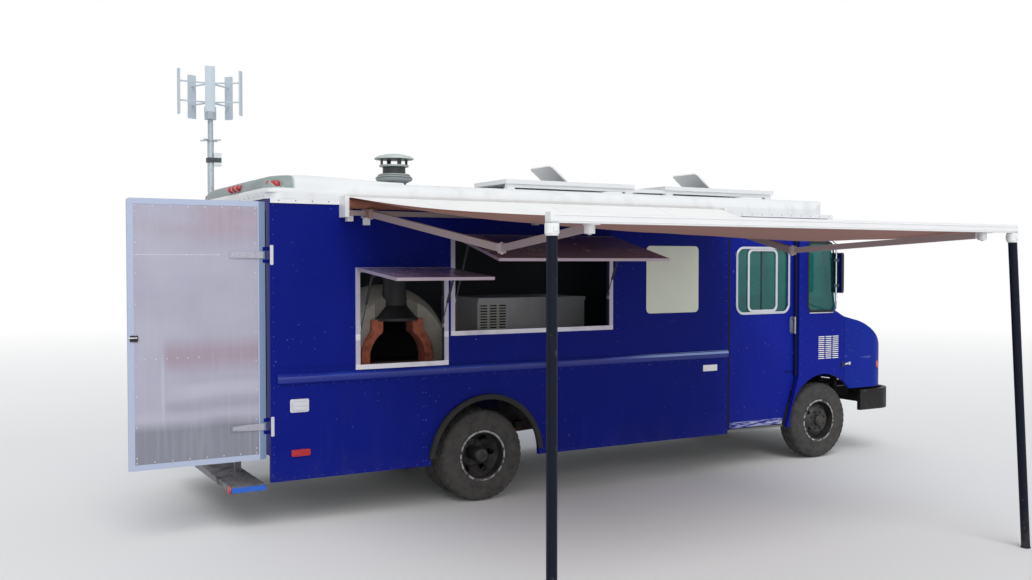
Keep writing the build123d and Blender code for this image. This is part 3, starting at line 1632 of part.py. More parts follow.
mast_y = body_width + mast_gap + mast_r
with BuildPart() as turbine_mast:
    rod((mast_x, mast_y, mast_foot), (mast_x, mast_y, 3205), mast_r)
    rod((mast_x, mast_y, 3205), (mast_x, mast_y, mast_top), mast_r - 5)
    rod((mast_x, mast_y, mast_top), (mast_x, mast_y, mast_top + 118), 54)
    for z in (mast_foot + 90, 2380):
        slab((mast_x - 50, body_width + fit_gap, z - 40), (mast_x + 50, mast_y + 4, z + 40))
    slab((mast_x + 22, mast_y - 40, 2965), (mast_x + 92, mast_y + 30, 3085))
    slab((mast_x - 36, mast_y - 36, 2995), (mast_x + 36, mast_y + 36, 3040))
    with BuildSketch(plan(3200)):
        with Locations((mast_x, mast_y)):
            Circle(42)
            with PolarLocations(52, 4, start_angle=45):
                Rectangle(104, 24)
    extrude(amount=10)
turbine_mast.part.label = "turbine_mast"
export_step(turbine_mast.part, "parts/turbine_mast.step")

with BuildSketch() as blade_section:
    with BuildLine():
        Line((-6, -blade_chord / 2), (blade_root, -blade_chord / 2))
        ThreePointArc((blade_root, -blade_chord / 2), (13, 8), (2, blade_chord / 2))
        Line((2, blade_chord / 2), (-6, -blade_chord / 2))
    make_face()
with BuildPart() as turbine_rotor:
    hub_low = mast_top + 118 + fit_gap
    rod((mast_x, mast_y, hub_low), (mast_x, mast_y, rotor_low + blade_height - 70), 34)
    for z in (rotor_low + 120, rotor_low + 300):
        with BuildSketch(plan(z)):
            with Locations((mast_x, mast_y)):
                with PolarLocations(rotor_r / 2, blades, start_angle=blade_start):
                    Rectangle(rotor_r - 4, 16)
        extrude(amount=12)
    with BuildSketch(plan(rotor_low)):
        with Locations((mast_x, mast_y)):
            with PolarLocations(rotor_r, blades, start_angle=blade_start):
                add(blade_section.sketch)
    extrude(amount=blade_height)
turbine_rotor.part.label = "turbine_rotor"
export_step(turbine_rotor.part, "parts/turbine_rotor.step")


# Mirrors on tube loops beside the windscreen

loop = [
    (5745, 20, 2275),
    (5805, -148, 2283),
    (5820, -190, 2245),
    (5820, -190, 1660),
    (5850, -156, 1604),
    (6005, 20, 1520),
]
with BuildPart() as mirror_right:
    with BuildLine() as route:
        Polyline(*[at(*p) for p in loop])
    with BuildSketch(Plane(origin=route.line @ 0, z_dir=route.line % 0)):
        Circle(11)
    sweep(path=route.line, transition=Transition.RIGHT)
    slab((5826, -265, 1740), (5842, -115, 2150))
    slab((5806, -205, 1800), (5830, -175, 1830))
    slab((5806, -205, 2060), (5830, -175, 2090))
    slab((5600, -fit_gap, 1400), (6120, 60, 2400), mode=Mode.SUBTRACT)
with BuildPart() as mirrors:
    add(mirror_right.part)
    mirror(mirror_right.part, about=middle)
mirrors.part.label = "mirrors"
export_step(mirrors.part, "parts/mirrors.step")
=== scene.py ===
"""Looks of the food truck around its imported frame: paint, metal, tyres, cloth, lamps and small fittings.
Places are in millimetres: X forward from the rear wall, Y from the right wall to the left, Z up."""
import math

import bmesh
import bpy
from mathutils import Matrix, Vector


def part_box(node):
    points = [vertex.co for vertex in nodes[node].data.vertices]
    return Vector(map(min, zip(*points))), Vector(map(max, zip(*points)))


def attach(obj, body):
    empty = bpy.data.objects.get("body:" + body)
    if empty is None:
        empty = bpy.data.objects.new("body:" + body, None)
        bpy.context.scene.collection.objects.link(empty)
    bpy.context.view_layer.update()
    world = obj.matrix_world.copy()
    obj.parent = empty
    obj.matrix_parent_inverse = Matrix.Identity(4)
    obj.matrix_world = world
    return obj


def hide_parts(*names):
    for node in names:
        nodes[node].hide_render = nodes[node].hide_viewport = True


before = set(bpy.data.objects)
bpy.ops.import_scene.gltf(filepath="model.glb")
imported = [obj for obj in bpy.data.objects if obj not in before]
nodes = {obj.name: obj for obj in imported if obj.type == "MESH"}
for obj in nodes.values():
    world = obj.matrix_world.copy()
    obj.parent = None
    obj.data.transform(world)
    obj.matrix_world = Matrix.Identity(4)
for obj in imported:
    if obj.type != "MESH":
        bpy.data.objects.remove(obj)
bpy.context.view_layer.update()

RAIL_PROUD = 18
BODY_WIDTH = 2120
wall_low, wall_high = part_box("side_wall_left")
ORIGIN = Vector((wall_low.x, wall_high.y - (BODY_WIDTH + RAIL_PROUD) / 1000, 0))
MIDDLE = BODY_WIDTH / 2
REAR_WHEEL = 1865
FRONT_WHEEL = 5857
AXLE_Z = 393
HATCHES = ((685, 1502, 1201, 2013), (1525, 3166, 1441, 2288))
FLUE_X, FLUE_Y = 1190, 400
ARCH_X, ARCH_Z = 1190, 1250
RAIL_Y = -3144
TO_RIGHT = (0, -1, 0)
TO_REAR = (-1, 0, 0)
TO_FRONT = (1, 0, 0)
UPWARD = (0, 0, 1)


def metres(x, y, z):
    """A place of the truck in the part's frame."""
    return ORIGIN + Vector((x, y, z)) / 1000


def metres_on(axis, value):
    """A place on one axis of the truck in the part's frame."""
    return getattr(metres(value, value, value), axis)


# Outlines

def circle(radius, count=32):
    """A round outline about the middle."""
    turns = [math.tau * i / count for i in range(count)]
    return [(radius * math.cos(a), radius * math.sin(a)) for a in turns]


def rounded(width, height, radius, count=6):
    """An outline with round corners about the middle."""
    points = []
    for turn, (sx, sy) in enumerate(((1, 1), (-1, 1), (-1, -1), (1, -1))):
        x, y = sx * (width / 2 - radius), sy * (height / 2 - radius)
        for i in range(count + 1):
            a = math.pi / 2 * (turn + i / count)
            points.append((x + radius * math.cos(a), y + radius * math.sin(a)))
    return points


def rectangle(low_x, low_y, high_x, high_y):
    """An outline with square corners."""
    return [(low_x, low_y), (high_x, low_y), (high_x, high_y), (low_x, high_y)]


def moved(outline, x, y=0):
    """An outline shifted across and up."""
    return [(x + px, y + py) for px, py in outline]


def grid(rows, columns, around=False, closed=False):
    """Faces between rows of points; around joins the last row to the first, closed the columns."""
    faces = []
    for i in range(rows if around else rows - 1):
        here, there = i * columns, (i + 1) % rows * columns
        for k in range(columns if closed else columns - 1):
            m = (k + 1) % columns
            faces.append((here + k, there + k, there + m, here + m))
    return faces


# Shapes and pieces

class Shape:
    """Faces in millimetres that become one piece. Its own frame can be set before faces are added."""

    def __init__(self):
        self.points = []
        self.faces = []
        self.frame = Matrix.Identity(4)

    def stand(self, origin, out, up=UPWARD):
        """Faces added next lie on a plane: first across, then up, then out of it."""
        out = Vector(out).normalized()
        across = Vector(up).cross(out).normalized()
        up = out.cross(across)
        self.frame = Matrix.Translation(origin) @ Matrix((across, up, out)).transposed().to_4x4()
        return self

    def add(self, points, faces):
        start = len(self.points)
        self.points += [self.frame @ Vector(p) for p in points]
        self.faces += [[start + i for i in f] for f in faces]
        return self

    def block(self, low, high):
        """A box between two corners."""
        points = [
            (x, y, z) for z in (low[2], high[2]) for y in (low[1], high[1]) for x in (low[0], high[0])
        ]
        faces = [(0, 2, 3, 1), (4, 5, 7, 6), (0, 1, 5, 4), (2, 6, 7, 3), (0, 4, 6, 2), (1, 3, 7, 5)]
        return self.add(points, faces)

    def stacked(self, loops):
        """A closed form through loops of as many points each."""
        n = len(loops[0])
        last = n * (len(loops) - 1)
        ends = [tuple(range(n - 1, -1, -1)), tuple(range(last, last + n))]
        return self.add(sum(loops, []), grid(len(loops), n, closed=True) + ends)

    def plate(self, outline, low, high, hole=None):
        """An outline drawn out from low to high, with an optional hole of as many points."""
        loops = [[(x, y, w) for x, y in outline] for w in (low, high)]
        if hole is None:
            return self.stacked(loops)
        loops += [[(x, y, w) for x, y in hole] for w in (high, low)]
        return self.add(sum(loops, []), grid(4, len(outline), True, True))

    def turned(self, profile, count=48, closed=False):
        """A profile of (radius, height) turned about the frame's third axis."""
        points = [(r * x, r * y, h) for x, y in circle(1, count) for r, h in profile]
        return self.add(points, grid(count, len(profile), True, closed))

    def stud(self, place, radius, height, count=8):
        """A round-headed rivet at a place of the frame."""
        x, y, z = place
        points = [(x, y, z + height)]
        for share, lift in ((0.62, 0.78), (1.0, 0.0)):
            points += [(x + px, y + py, z + height * lift) for px, py in circle(radius * share, count)]
        faces = [tuple(range(2 * count, count, -1))]
        for i in range(count):
            j = (i + 1) % count
            faces.append((0, 1 + i, 1 + j))
            faces.append((1 + i, 1 + count + i, 1 + count + j, 1 + j))
        return self.add(points, faces)

    def row(self, start, end, pitch, radius=4.5, height=2.2):
        """Rivets from one place to another on the open frame."""
        a, b = Vector((*start, 0)), Vector((*end, 0))
        count = max(1, round((b - a).length / pitch))
        for i in range(count + 1):
            self.stud(a + (b - a) * i / count, radius, height)

    def pipe(self, path, radius, count=10):
        """A round bar along a run of places."""
        path = [Vector(p) for p in path]
        loops = []
        side = None
        for i, p in enumerate(path):
            ahead = (path[min(i + 1, len(path) - 1)] - path[max(i - 1, 0)]).normalized()
            if side is None:
                side = ahead.orthogonal()
            side = (side - ahead * side.dot(ahead)).normalized()
            other = ahead.cross(side)
            loops.append([p + side * x + other * y for x, y in circle(radius, count)])
        return self.stacked(loops)

    def mirrored(self, only=False):
        """The same faces on the truck's left side, beside or in place of those on the right."""
        start = 0 if only else len(self.points)
        points = [Vector((p.x, BODY_WIDTH - p.y, p.z)) for p in self.points]
        faces = [[start + i for i in reversed(f)] for f in self.faces]
        self.points = points if only else self.points + points
        self.faces = faces if only else self.faces + faces
        return self


def on_right(x=0, y=0, z=0):
    """A shape drawn on a plane that looks to the right."""
    return Shape().stand((x, y, z), TO_RIGHT)


def bun(shape, sizes, share=None):
    """A lens or cap through round-cornered loops of (width, height, radius, depth)."""
    return shape.stacked([[(x, y, w) for x, y in rounded(a, b, r, 5)] for a, b, r, w in sizes])


def make(shape, name, material, body="truck", bevel=0.0, crease=35, segments=2):
    """A piece from a shape, with softened edges, riding on a body."""
    mesh = bpy.data.meshes.new(name)
    mesh.from_pydata([metres(*p) for p in shape.points], [], shape.faces)
    mesh.validate()
    work = bmesh.new()
    work.from_mesh(mesh)
    bmesh.ops.recalc_face_normals(work, faces=work.faces)
    work.to_mesh(mesh)
    work.free()
    piece = bpy.data.objects.new(name, mesh)
    bpy.context.scene.collection.objects.link(piece)
    for one in material if isinstance(material, list) else [material]:
        mesh.materials.append(one)
    mesh.polygons.foreach_set("use_smooth", [True] * len(mesh.polygons))
    if bevel:
        edge = piece.modifiers.new("Edge", "BEVEL")
        edge.width = bevel / 1000
        edge.segments = segments
        edge.limit_method = "ANGLE"
        edge.angle_limit = math.radians(40)
    mesh.set_sharp_from_angle(angle=math.radians(crease))
    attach(piece, body)
    return piece


# Finishes

def add_node(tree, kind, values=None, **settings):
    """A node with its settings, and links or values at its inputs."""
    made = tree.nodes.new(kind)
    for key, value in settings.items():
        setattr(made, key, value)
    for key, value in (values or {}).items():
        socket = made.inputs[key]
        if isinstance(value, bpy.types.NodeSocket):
            tree.links.new(value, socket)
        else:
            socket.default_value = (*value[:3], 1.0) if socket.type == "RGBA" else value
    return made


class Finish:
    """A procedural material: a colour broken up by noise, with zones, dust and wear painted over it."""

    def __init__(
        self, name, colour, rough=0.5, metal=0.0, vary=0.12, patches=1.6, grain=160.0, bump=0.12,
        specular=0.5, **shader,
    ):
        self.material = bpy.data.materials.new(name)
        self.material.use_nodes = True
        self.tree = self.material.node_tree
        self.shader = self.tree.nodes["Principled BSDF"]
        self.place = self.node("ShaderNodeTexCoord").outputs["Object"]
        self.x, self.y, self.z = self.node("ShaderNodeSeparateXYZ", {"Vector": self.place}).outputs
        low = [c * (1 - vary) for c in colour]
        high = [min(1.0, c * (1 + vary)) for c in colour]
        self.colour = self.mix(self.noise(patches, 6), low, high)
        fine = self.noise(grain, 3)
        self.rough = self.math("MULTIPLY_ADD", fine, rough * 0.3, rough * 0.85)
        self.metal = metal
        self.relief = self.math("MULTIPLY", fine, bump)
        self.shader.inputs["Specular IOR Level"].default_value = specular
        for key, value in shader.items():
            self.shader.inputs[key.replace("_", " ")].default_value = value

    def node(self, kind, values=None, **settings):
        return add_node(self.tree, kind, values, **settings)

    def math(self, operation, a, b=0.0, c=0.0):
        return self.node("ShaderNodeMath", {0: a, 1: b, 2: c}, operation=operation).outputs[0]

    def noise(self, scale, detail=4, stretch=(1, 1, 1), offset=0.0):
        shift = {"Vector": self.place, "Scale": stretch, "Location": (offset, offset, offset)}
        place = self.node("ShaderNodeMapping", shift).outputs[0]
        values = {"Vector": place, "Scale": scale, "Detail": detail}
        return self.node("ShaderNodeTexNoise", values).outputs["Fac"]

    def mix(self, share, a, b):
        return self.node("ShaderNodeMix", {0: share, 6: a, 7: b}, data_type="RGBA").outputs[2]

    def ramp(self, value, start, end):
        """0 at start and 1 at end, in either order."""
        ends = {"Value": value, "From Min": start, "From Max": end}
        return self.node("ShaderNodeMapRange", ends).outputs[0]

    def band(self, value, low, high, soft=0.0006):
        """1 where the value lies between two others."""
        rising = self.ramp(value, low - soft, low + soft)
        return self.times(rising, self.ramp(value, high + soft, high - soft))

    def along(self, axis, start, end):
        """0 at one place on an axis of the truck and 1 at the other."""
        return self.ramp(getattr(self, axis), metres_on(axis, start), metres_on(axis, end))

    def between(self, axis, low, high, soft=0.6):
        """1 between two places on an axis of the truck."""
        return self.band(getattr(self, axis), metres_on(axis, low), metres_on(axis, high), soft / 1000)

    def box(self, low, high, soft=0.6):
        """1 inside a box of the truck."""
        return self.times(*(self.between(axis, a, b, soft) for axis, a, b in zip("xyz", low, high)))

    def distance(self, a, b):
        made = self.node("ShaderNodeVectorMath", {0: a, 1: b}, operation="DISTANCE")
        return made.outputs["Value"]

    def away(self, point, flat=None):
        """How far a place is from a point, or from the line through it along a flattened axis."""
        parts, target = [self.x, self.y, self.z], list(metres(*point))
        if flat is not None:
            parts[flat] = 0.0
            target[flat] = 0.0
        place = self.node("ShaderNodeCombineXYZ", dict(enumerate(parts))).outputs[0]
        return self.distance(place, target)

    def facing_up(self):
        """How far a face looks up: 1 on a level top, -1 on a level underside."""
        normal = self.node("ShaderNodeTexCoord").outputs["Normal"]
        return self.node("ShaderNodeSeparateXYZ", {"Vector": normal}).outputs[2]

    def off(self, value, middle):
        """How far a value is from a middle, on either side."""
        return self.math("ABSOLUTE", self.math("SUBTRACT", value, middle))

    def comb(self, value, rate):
        """How far a value is from the middle of its repeat, in repeats."""
        return self.off(self.math("FRACT", self.math("MULTIPLY", value, rate)), 0.5)

    def times(self, *masks):
        total = masks[0]
        for mask in masks[1:]:
            total = self.math("MULTIPLY", total, mask)
        return total

    def either(self, *masks):
        total = masks[0]
        for mask in masks[1:]:
            total = self.math("MAXIMUM", total, mask)
        return total

    def patchy(self, mask, scale, low, high, stretch=(1, 1, 1), offset=0.0, detail=6):
        """The mask, kept only in patches."""
        return self.times(mask, self.ramp(self.noise(scale, detail, stretch, offset), low, high))

    def paint(self, mask, colour, rough=None, metal=None):
        """Colour laid over the mask, with its own roughness and metal where given."""
        self.colour = self.mix(mask, self.colour, colour)
        for key, value in (("rough", rough), ("metal", metal)):
            if value is not None:
                kept = self.math("MULTIPLY", getattr(self, key), self.math("SUBTRACT", 1.0, mask))
                setattr(self, key, self.math("MULTIPLY_ADD", mask, value, kept))
        return self

    def blotch(self, scale, low, high, colour, share=1.0, mask=1.0, rough=None, **more):
        """Colour laid on in patches of the mask."""
        return self.paint(self.times(self.patchy(mask, scale, low, high, **more), share), colour, rough)

    def dust(self, top=900, strength=0.55):
        """Road dirt that thins out upwards."""
        dirt = self.patchy(self.along("z", top, 0), 7.0, 0.3, 0.75)
        return self.paint(self.times(dirt, strength), (0.17, 0.14, 0.11), rough=0.9)

    def raise_by(self, height):
        self.relief = self.math("ADD", self.relief, height)
        return self

    def done(self, depth=0.0012):
        """The finished material, with every part wired to the shader."""
        relief = self.node("ShaderNodeBump", {"Height": self.relief, "Distance": depth, "Strength": 1.0})
        for key, value in (
            ("Base Color", self.colour), ("Roughness", self.rough), ("Metallic", self.metal),
            ("Normal", relief.outputs[0]),
        ):
            if isinstance(value, bpy.types.NodeSocket):
                self.tree.links.new(value, self.shader.inputs[key])
            else:
                self.shader.inputs[key].default_value = value
        return self.material


# Dark grey that stands for the shade inside the truck and under the roof cap.
INSIDE_SHADE = (0.045, 0.047, 0.052)
RUST = (0.11, 0.045, 0.022)
ROOF_WHITE = (0.74, 0.75, 0.76)
# The wall, cab and nose carry one paint. Their three blues differ as painted light and shade: the wall's is
# darker, the cab's and nose's are lighter.
WALL_BLUE = (0.0025, 0.0085, 0.180)
CAB_BLUE = (0.0045, 0.012, 0.235)
NOSE_BLUE = (0.005, 0.018, 0.245)
CLOTH_BROWN = (0.30, 0.118, 0.078)


def blue_paint(name, colour, dusty=True):
    """Blue body paint: a faint orange peel, faded patches, small chips and road dirt."""
    paint = Finish(name, colour, 0.4, vary=0.16, patches=0.9, grain=260.0, bump=0.05, specular=0.07)
    faded = [min(1.0, c * 1.5 + 0.004) for c in colour]
    paint.blotch(2.2, 0.52, 0.8, faded, 0.35, rough=0.5, stretch=(1, 1, 0.5))
    paint.blotch(46.0, 0.735, 0.75, (0.22, 0.23, 0.3), 0.7, rough=0.7, detail=2)
    low_half = paint.along("z", 1300, 400)
    paint.blotch(16.0, 0.56, 0.78, (0.04, 0.045, 0.10), 0.14, low_half, rough=0.7, stretch=(1, 1, 0.12))
    return paint.dust(620, 0.12) if dusty else paint


def shade_inside_of_walls(paint, skin=39):
    """Painted shade: the lining on the faces that look into the truck, from a depth under the outer face,
    is painted dark grey.
    """
    depth = (MIDDLE - skin) / 1000
    across = paint.off(paint.y, metres_on("y", MIDDLE))
    return paint.paint(paint.ramp(across, depth + 0.0005, depth - 0.0005), INSIDE_SHADE, rough=0.7)


wall_paint = shade_inside_of_walls(blue_paint("wall_paint", WALL_BLUE))
# Painted shade: the reveals of the hatch openings, through the wall's thickness, are painted near black.
for rear, front, low, high in HATCHES:
    shaded_reveal = wall_paint.box((rear + 1, 0.6, low + 1), (front - 1, 60, high - 1))
    wall_paint.paint(shaded_reveal, (0.03, 0.034, 0.04), rough=0.7)
wall_paint = wall_paint.done()
portal_paint = blue_paint("portal_paint", WALL_BLUE).done()

door_paint = shade_inside_of_walls(blue_paint("door_paint", CAB_BLUE), 86)
for low_y, high_y in ((-10, 42), (2078, 2130)):
    grip = door_paint.box((5420, low_y, 1300), (5480, high_y, 1520))
    door_paint.paint(grip, (0.34, 0.35, 0.38), rough=0.3, metal=0.6)
sill = door_paint.box((4516, -10, 402), (5489, 2130, 462), 2)
door_paint.blotch(30.0, 0.42, 0.6, (0.42, 0.45, 0.62), mask=sill, rough=0.45, stretch=(0.25, 1, 2.2))
door_paint = door_paint.done()

cab_paint = shade_inside_of_walls(blue_paint("cab_paint", CAB_BLUE))
cab_paint = cab_paint.paint(cab_paint.along("z", 2502.5, 2503.5), ROOF_WHITE, rough=0.5).done()

nose_paint = blue_paint("nose_paint", NOSE_BLUE)
scuffs = nose_paint.box((6150, -20, 1000), (6560, 2140, 1400), 20)
nose_paint.blotch(5.0, 0.64, 0.76, (0.09, 0.105, 0.36), mask=scuffs, rough=0.6, stretch=(0.5, 1, 2.4))
nose_paint = nose_paint.done()

# Painted reflection: the lids are blue panels, but their colours stand for the brown awning cloth mirrored
# in them. They get a purple-brown skin, lighter pinkish edges, and a lighter pink top where faces look up,
# with pink patches.
lid_reflection_paint = Finish("lid_skin_painted_reflection", (0.085, 0.045, 0.085), 0.42, 0.0, 0.2, 2.0, 200.0, 0.04, 0.6)
ends = [lid_reflection_paint.between("x", x - 4, x + 4) for x in (689, 1498, 1529, 3162)]
lid_edges = lid_reflection_paint.either(lid_reflection_paint.along("y", -815, -817), *ends)
lid_reflection_paint.paint(lid_edges, (0.46, 0.38, 0.45), rough=0.4, metal=0.3)
lid_top_reflection = lid_reflection_paint.ramp(lid_reflection_paint.facing_up(), 0.3, 0.6)
lid_reflection_paint.paint(lid_top_reflection, (0.32, 0.27, 0.40), rough=0.25, metal=0.25)
lid_reflection_paint = lid_reflection_paint.blotch(3.0, 0.4, 0.7, (0.40, 0.29, 0.36), 0.7, lid_top_reflection, rough=0.3).done()

roof_paint = Finish("roof_shell_paint", ROOF_WHITE, 0.5, 0.0, 0.05, 1.4, 220.0, 0.08)
rim = roof_paint.between("z", 2540, 2700, 50)
roof_paint.blotch(9.0, 0.5, 0.8, (0.42, 0.43, 0.42), 0.35, rim, rough=0.7, stretch=(1, 1, 0.1))
roof_paint.blotch(2.5, 0.45, 0.75, (0.45, 0.46, 0.43), 0.3, roof_paint.along("z", 2660, 2730), rough=0.8)
# Painted shade: the roof cap's rear end, which faces away from the light, is painted grey-green.
shaded_rear_end = roof_paint.times(roof_paint.along("x", 120, 96), roof_paint.along("z", 2590, 2594))
roof_paint.paint(shaded_rear_end, (0.30, 0.34, 0.335), rough=0.6)
# Painted shade: faces that look down, the cap's underside, take the dark inside colour.
roof_paint.paint(roof_paint.ramp(roof_paint.facing_up(), -0.35, -0.45), INSIDE_SHADE, rough=0.8)
roof_paint = roof_paint.done()

silver_frame = Finish("frame_metal", (0.43, 0.405, 0.50), 0.42, 0.35, 0.08, 3.0, 240.0, 0.05)
sills = silver_frame.either(silver_frame.between("z", 1195, 1243), silver_frame.between("z", 1435, 1483))
silver_frame = silver_frame.blotch(4.0, 0.3, 0.5, (0.66, 0.64, 0.70), mask=sills, rough=0.4).done()


def door_sheet_with_reflections():
    """Cloudy bare aluminium with painted reflections: pinkish, light and dark bands, a pinkish top and a
    darker lower part. It also has a clear strip by the free edge, soft streaks and scratches.
    """
    sheet = Finish("door_sheet_with_reflections", (0.37, 0.36, 0.45), 0.5, 0.2, 0.08, 2.4, 260.0, 0.05)
    # Painted reflection: a pinkish tint over the top of the sheet.
    top = sheet.along("z", 2140, 2300)
    sheet.blotch(1.6, 0.3, 0.65, (0.36, 0.28, 0.33), 0.75, top, stretch=(1, 1, 1.6), detail=4)
    sheet.blotch(2.2, 0.42, 0.7, (0.47, 0.48, 0.57), 0.4, stretch=(0.8, 0.8, 1.3), offset=7.0, detail=5)
    # Painted reflections: light, dark and pinkish bands at set heights, made wavy by noise, and below them
    # a darker lower part.
    panel = sheet.along("x", -800, -745)
    wave = sheet.math("MULTIPLY_ADD", sheet.noise(1.2, 2, (1, 1, 0.2), 2.0), 0.12, sheet.z)
    for low, high, soft, where, share, colour, rough in (
        (1.36, 1.48, 0.09, panel, 0.85, (0.30, 0.20, 0.245), None),
        (1.16, 1.17, 0.06, sheet.along("x", -760, -560), 0.9, (0.60, 0.61, 0.69), 0.4),
        (1.02, 1.06, 0.05, panel, 0.7, (0.235, 0.245, 0.30), None),
        (0.985, 1.0, 0.03, 1.0, 0.5, (0.50, 0.47, 0.54), None),
    ):
        sheet.paint(sheet.times(sheet.band(wave, low, high, soft), where, share), colour, rough)
    sheet.paint(sheet.times(sheet.ramp(wave, 0.96, 0.88), 0.8), (0.17, 0.18, 0.215))
    edge = sheet.times(sheet.between("x", -790, -772, 6), sheet.between("z", 900, 1360, 80))
    sheet.paint(sheet.times(edge, 0.5), (0.50, 0.51, 0.60))
    sheet.blotch(38.0, 0.5, 0.8, (0.48, 0.48, 0.56), 0.22, rough=0.4, stretch=(1, 1, 0.05), detail=4)
    worn = sheet.patchy(sheet.between("z", 2080, 2340, 60), 60.0, 0.4, 0.6, detail=2)
    sheet.blotch(
        9.0, 0.655, 0.67, (0.66, 0.66, 0.74), 0.6, worn, stretch=(0.35, 1, 1.1), offset=4.0, detail=3
    )
    seam = sheet.times(sheet.between("z", 2108.5, 2112.5, 1), sheet.along("x", -350, -380), 0.8)
    sheet.paint(seam, (0.60, 0.61, 0.69))
    hinge_side = sheet.along("y", 90, 88)
    left_ends = sheet.either(sheet.along("y", 1117, 1115), sheet.along("y", 2007, 2009))
    edges = sheet.either(
        sheet.along("z", 2474, 2476), sheet.along("z", 592, 590), sheet.along("x", -977, -979),
        sheet.times(sheet.between("x", -80, -20), hinge_side),
        sheet.times(sheet.along("x", -22, -15), left_ends),
    )
    sheet.paint(edges, (0.40, 0.46, 0.60), rough=0.45, metal=0.2)
    stile = sheet.times(sheet.between("x", -72, -20), hinge_side)
    return sheet.paint(stile, (0.17, 0.24, 0.37), rough=0.45).done()


rear_door_metal = door_sheet_with_reflections()

wheel_steel = Finish("wheel_steel", (0.014, 0.015, 0.018), 0.5, 0.0, 0.3, 9.0, 240.0, 0.12, 0.45)
tyre_rubber = Finish("tyre_rubber", (0.030, 0.030, 0.031), 0.85, 0.0, 0.2, 7.0, 300.0, 0.25, 0.25)
for wheel_x in (REAR_WHEEL, FRONT_WHEEL):
    reach = wheel_steel.away((wheel_x, 0, AXLE_Z), 1)
    rim_edge, disc = wheel_steel.band(reach, 0.203, 0.222, 0.001), wheel_steel.band(reach, 0.0, 0.2)
    wheel_steel.blotch(22.0, 0.42, 0.56, (0.36, 0.37, 0.38), mask=rim_edge, rough=0.5)
    wheel_steel.blotch(16.0, 0.5, 0.72, (0.09, 0.085, 0.08), 0.5, disc, rough=0.7)
    reach = tyre_rubber.away((wheel_x, 0, AXLE_Z), 1)
    sidewall, tread = tyre_rubber.band(reach, 0.2, 0.388), tyre_rubber.ramp(reach, 0.384, 0.390)
    tyre_rubber.blotch(5.0, 0.2, 0.7, (0.062, 0.060, 0.060), 0.6, sidewall, rough=0.92)
    tyre_rubber.blotch(18.0, 0.3, 0.6, (0.085, 0.078, 0.070), 0.6, tread, rough=0.95)
wheel_steel = wheel_steel.dust(800, 0.3).done()
tyre_rubber = tyre_rubber.done()

bare_alu = Finish("bare_aluminium", (0.40, 0.40, 0.47), 0.38, 0.75, 0.1, 2.0, 200.0, 0.06)
bare_alu = bare_alu.dust(500, 0.4).done()
black_steel = Finish("black_steel", (0.018, 0.018, 0.02), 0.6, 0.0, 0.3, 5.0, 200.0, 0.2, 0.3)
black_steel = black_steel.blotch(9.0, 0.58, 0.75, RUST, rough=0.85).dust(1000, 0.6).done()
iron = Finish("cast_iron", (0.055, 0.05, 0.048), 0.75, 0.2, 0.3, 8.0, 220.0, 0.4)
iron = iron.blotch(12.0, 0.5, 0.7, RUST, rough=0.9).dust(1000, 0.5).done()
lip_rubber = Finish("lip_rubber", (0.016, 0.016, 0.017), 0.7, 0.0, 0.25, 10.0, 300.0, 0.2, 0.3)
lip_rubber = lip_rubber.dust(900, 0.35).done()
navy_rubber = Finish("navy_rubber", (0.003, 0.005, 0.035), 0.7, 0.0, 0.2, 8.0, 200.0, 0.1, 0.2).done()
black_plastic = Finish("black_plastic", (0.020, 0.020, 0.022), 0.55, 0.0, 0.2, 8.0, 320.0, 0.2, 0.35).done()
bumper_black = Finish("bumper_black", (0.006, 0.006, 0.007), 0.5, 0.0, 0.3, 6.0, 240.0, 0.1, 0.25)
bumper_black = bumper_black.blotch(14.0, 0.62, 0.7, (0.06, 0.058, 0.055), rough=0.8).dust(700, 0.25).done()
chrome = Finish("chrome_plate", (0.72, 0.73, 0.75), 0.16, 1.0, 0.05, 4.0, 160.0, 0.03)
chrome = chrome.blotch(40.0, 0.66, 0.72, (0.28, 0.25, 0.22), rough=0.5).done()
rod_steel = Finish("rod_steel", (0.075, 0.075, 0.08), 0.3, 0.6, 0.1, 20.0, 300.0, 0.02).done()
bright_metal = Finish("bright_metal", (0.62, 0.63, 0.68), 0.35, 0.6, 0.08, 4.0, 200.0, 0.05).done()
handle_grey = Finish("handle_grey", (0.22, 0.24, 0.30), 0.35, 0.6, 0.1, 6.0, 200.0, 0.05).done()
rivet_paint = Finish("rivet_paint", (0.05, 0.065, 0.26), 0.4, 0.1, 0.5, 9.0, 200.0, 0.05).done()
stainless = Finish("stainless_steel", (0.80, 0.79, 0.81), 0.4, 0.0, 0.08, 1.4, 200.0, 0.03)
stainless.blotch(60.0, 0.45, 0.6, (0.78, 0.77, 0.76), 0.3, stretch=(0.02, 1, 1), detail=3)
stainless = stainless.blotch(3.0, 0.5, 0.75, (0.40, 0.38, 0.40), 0.35, rough=0.5).done()
step_metal = Finish("step_plate", (0.20, 0.20, 0.215), 0.5, 0.5, 0.15, 4.0, 120.0, 0.15)
step_metal = step_metal.blotch(9.0, 0.5, 0.7, (0.07, 0.06, 0.055), rough=0.8).dust(420, 0.5).done()
post_paint = Finish("post_paint", (0.004, 0.0065, 0.016), 0.45, 0.0, 0.25, 3.0, 240.0, 0.1, 0.14)
post_paint = post_paint.blotch(24.0, 0.68, 0.73, (0.05, 0.05, 0.06), rough=0.7).dust(300, 0.5).done()
white_plastic = Finish("white_plastic", (0.80, 0.81, 0.81), 0.45, 0.0, 0.05, 6.0, 240.0, 0.06)
white_plastic = white_plastic.blotch(7.0, 0.55, 0.8, (0.55, 0.55, 0.52), 0.3, rough=0.6).done()
blade_paint = Finish("blade_paint", (0.50, 0.57, 0.63), 0.5, 0.0, 0.06, 6.0, 240.0, 0.05).done()
sign_paint = Finish("sign_plate", (0.70, 0.74, 0.62), 0.45, 0.0, 0.05, 2.5, 260.0, 0.04)
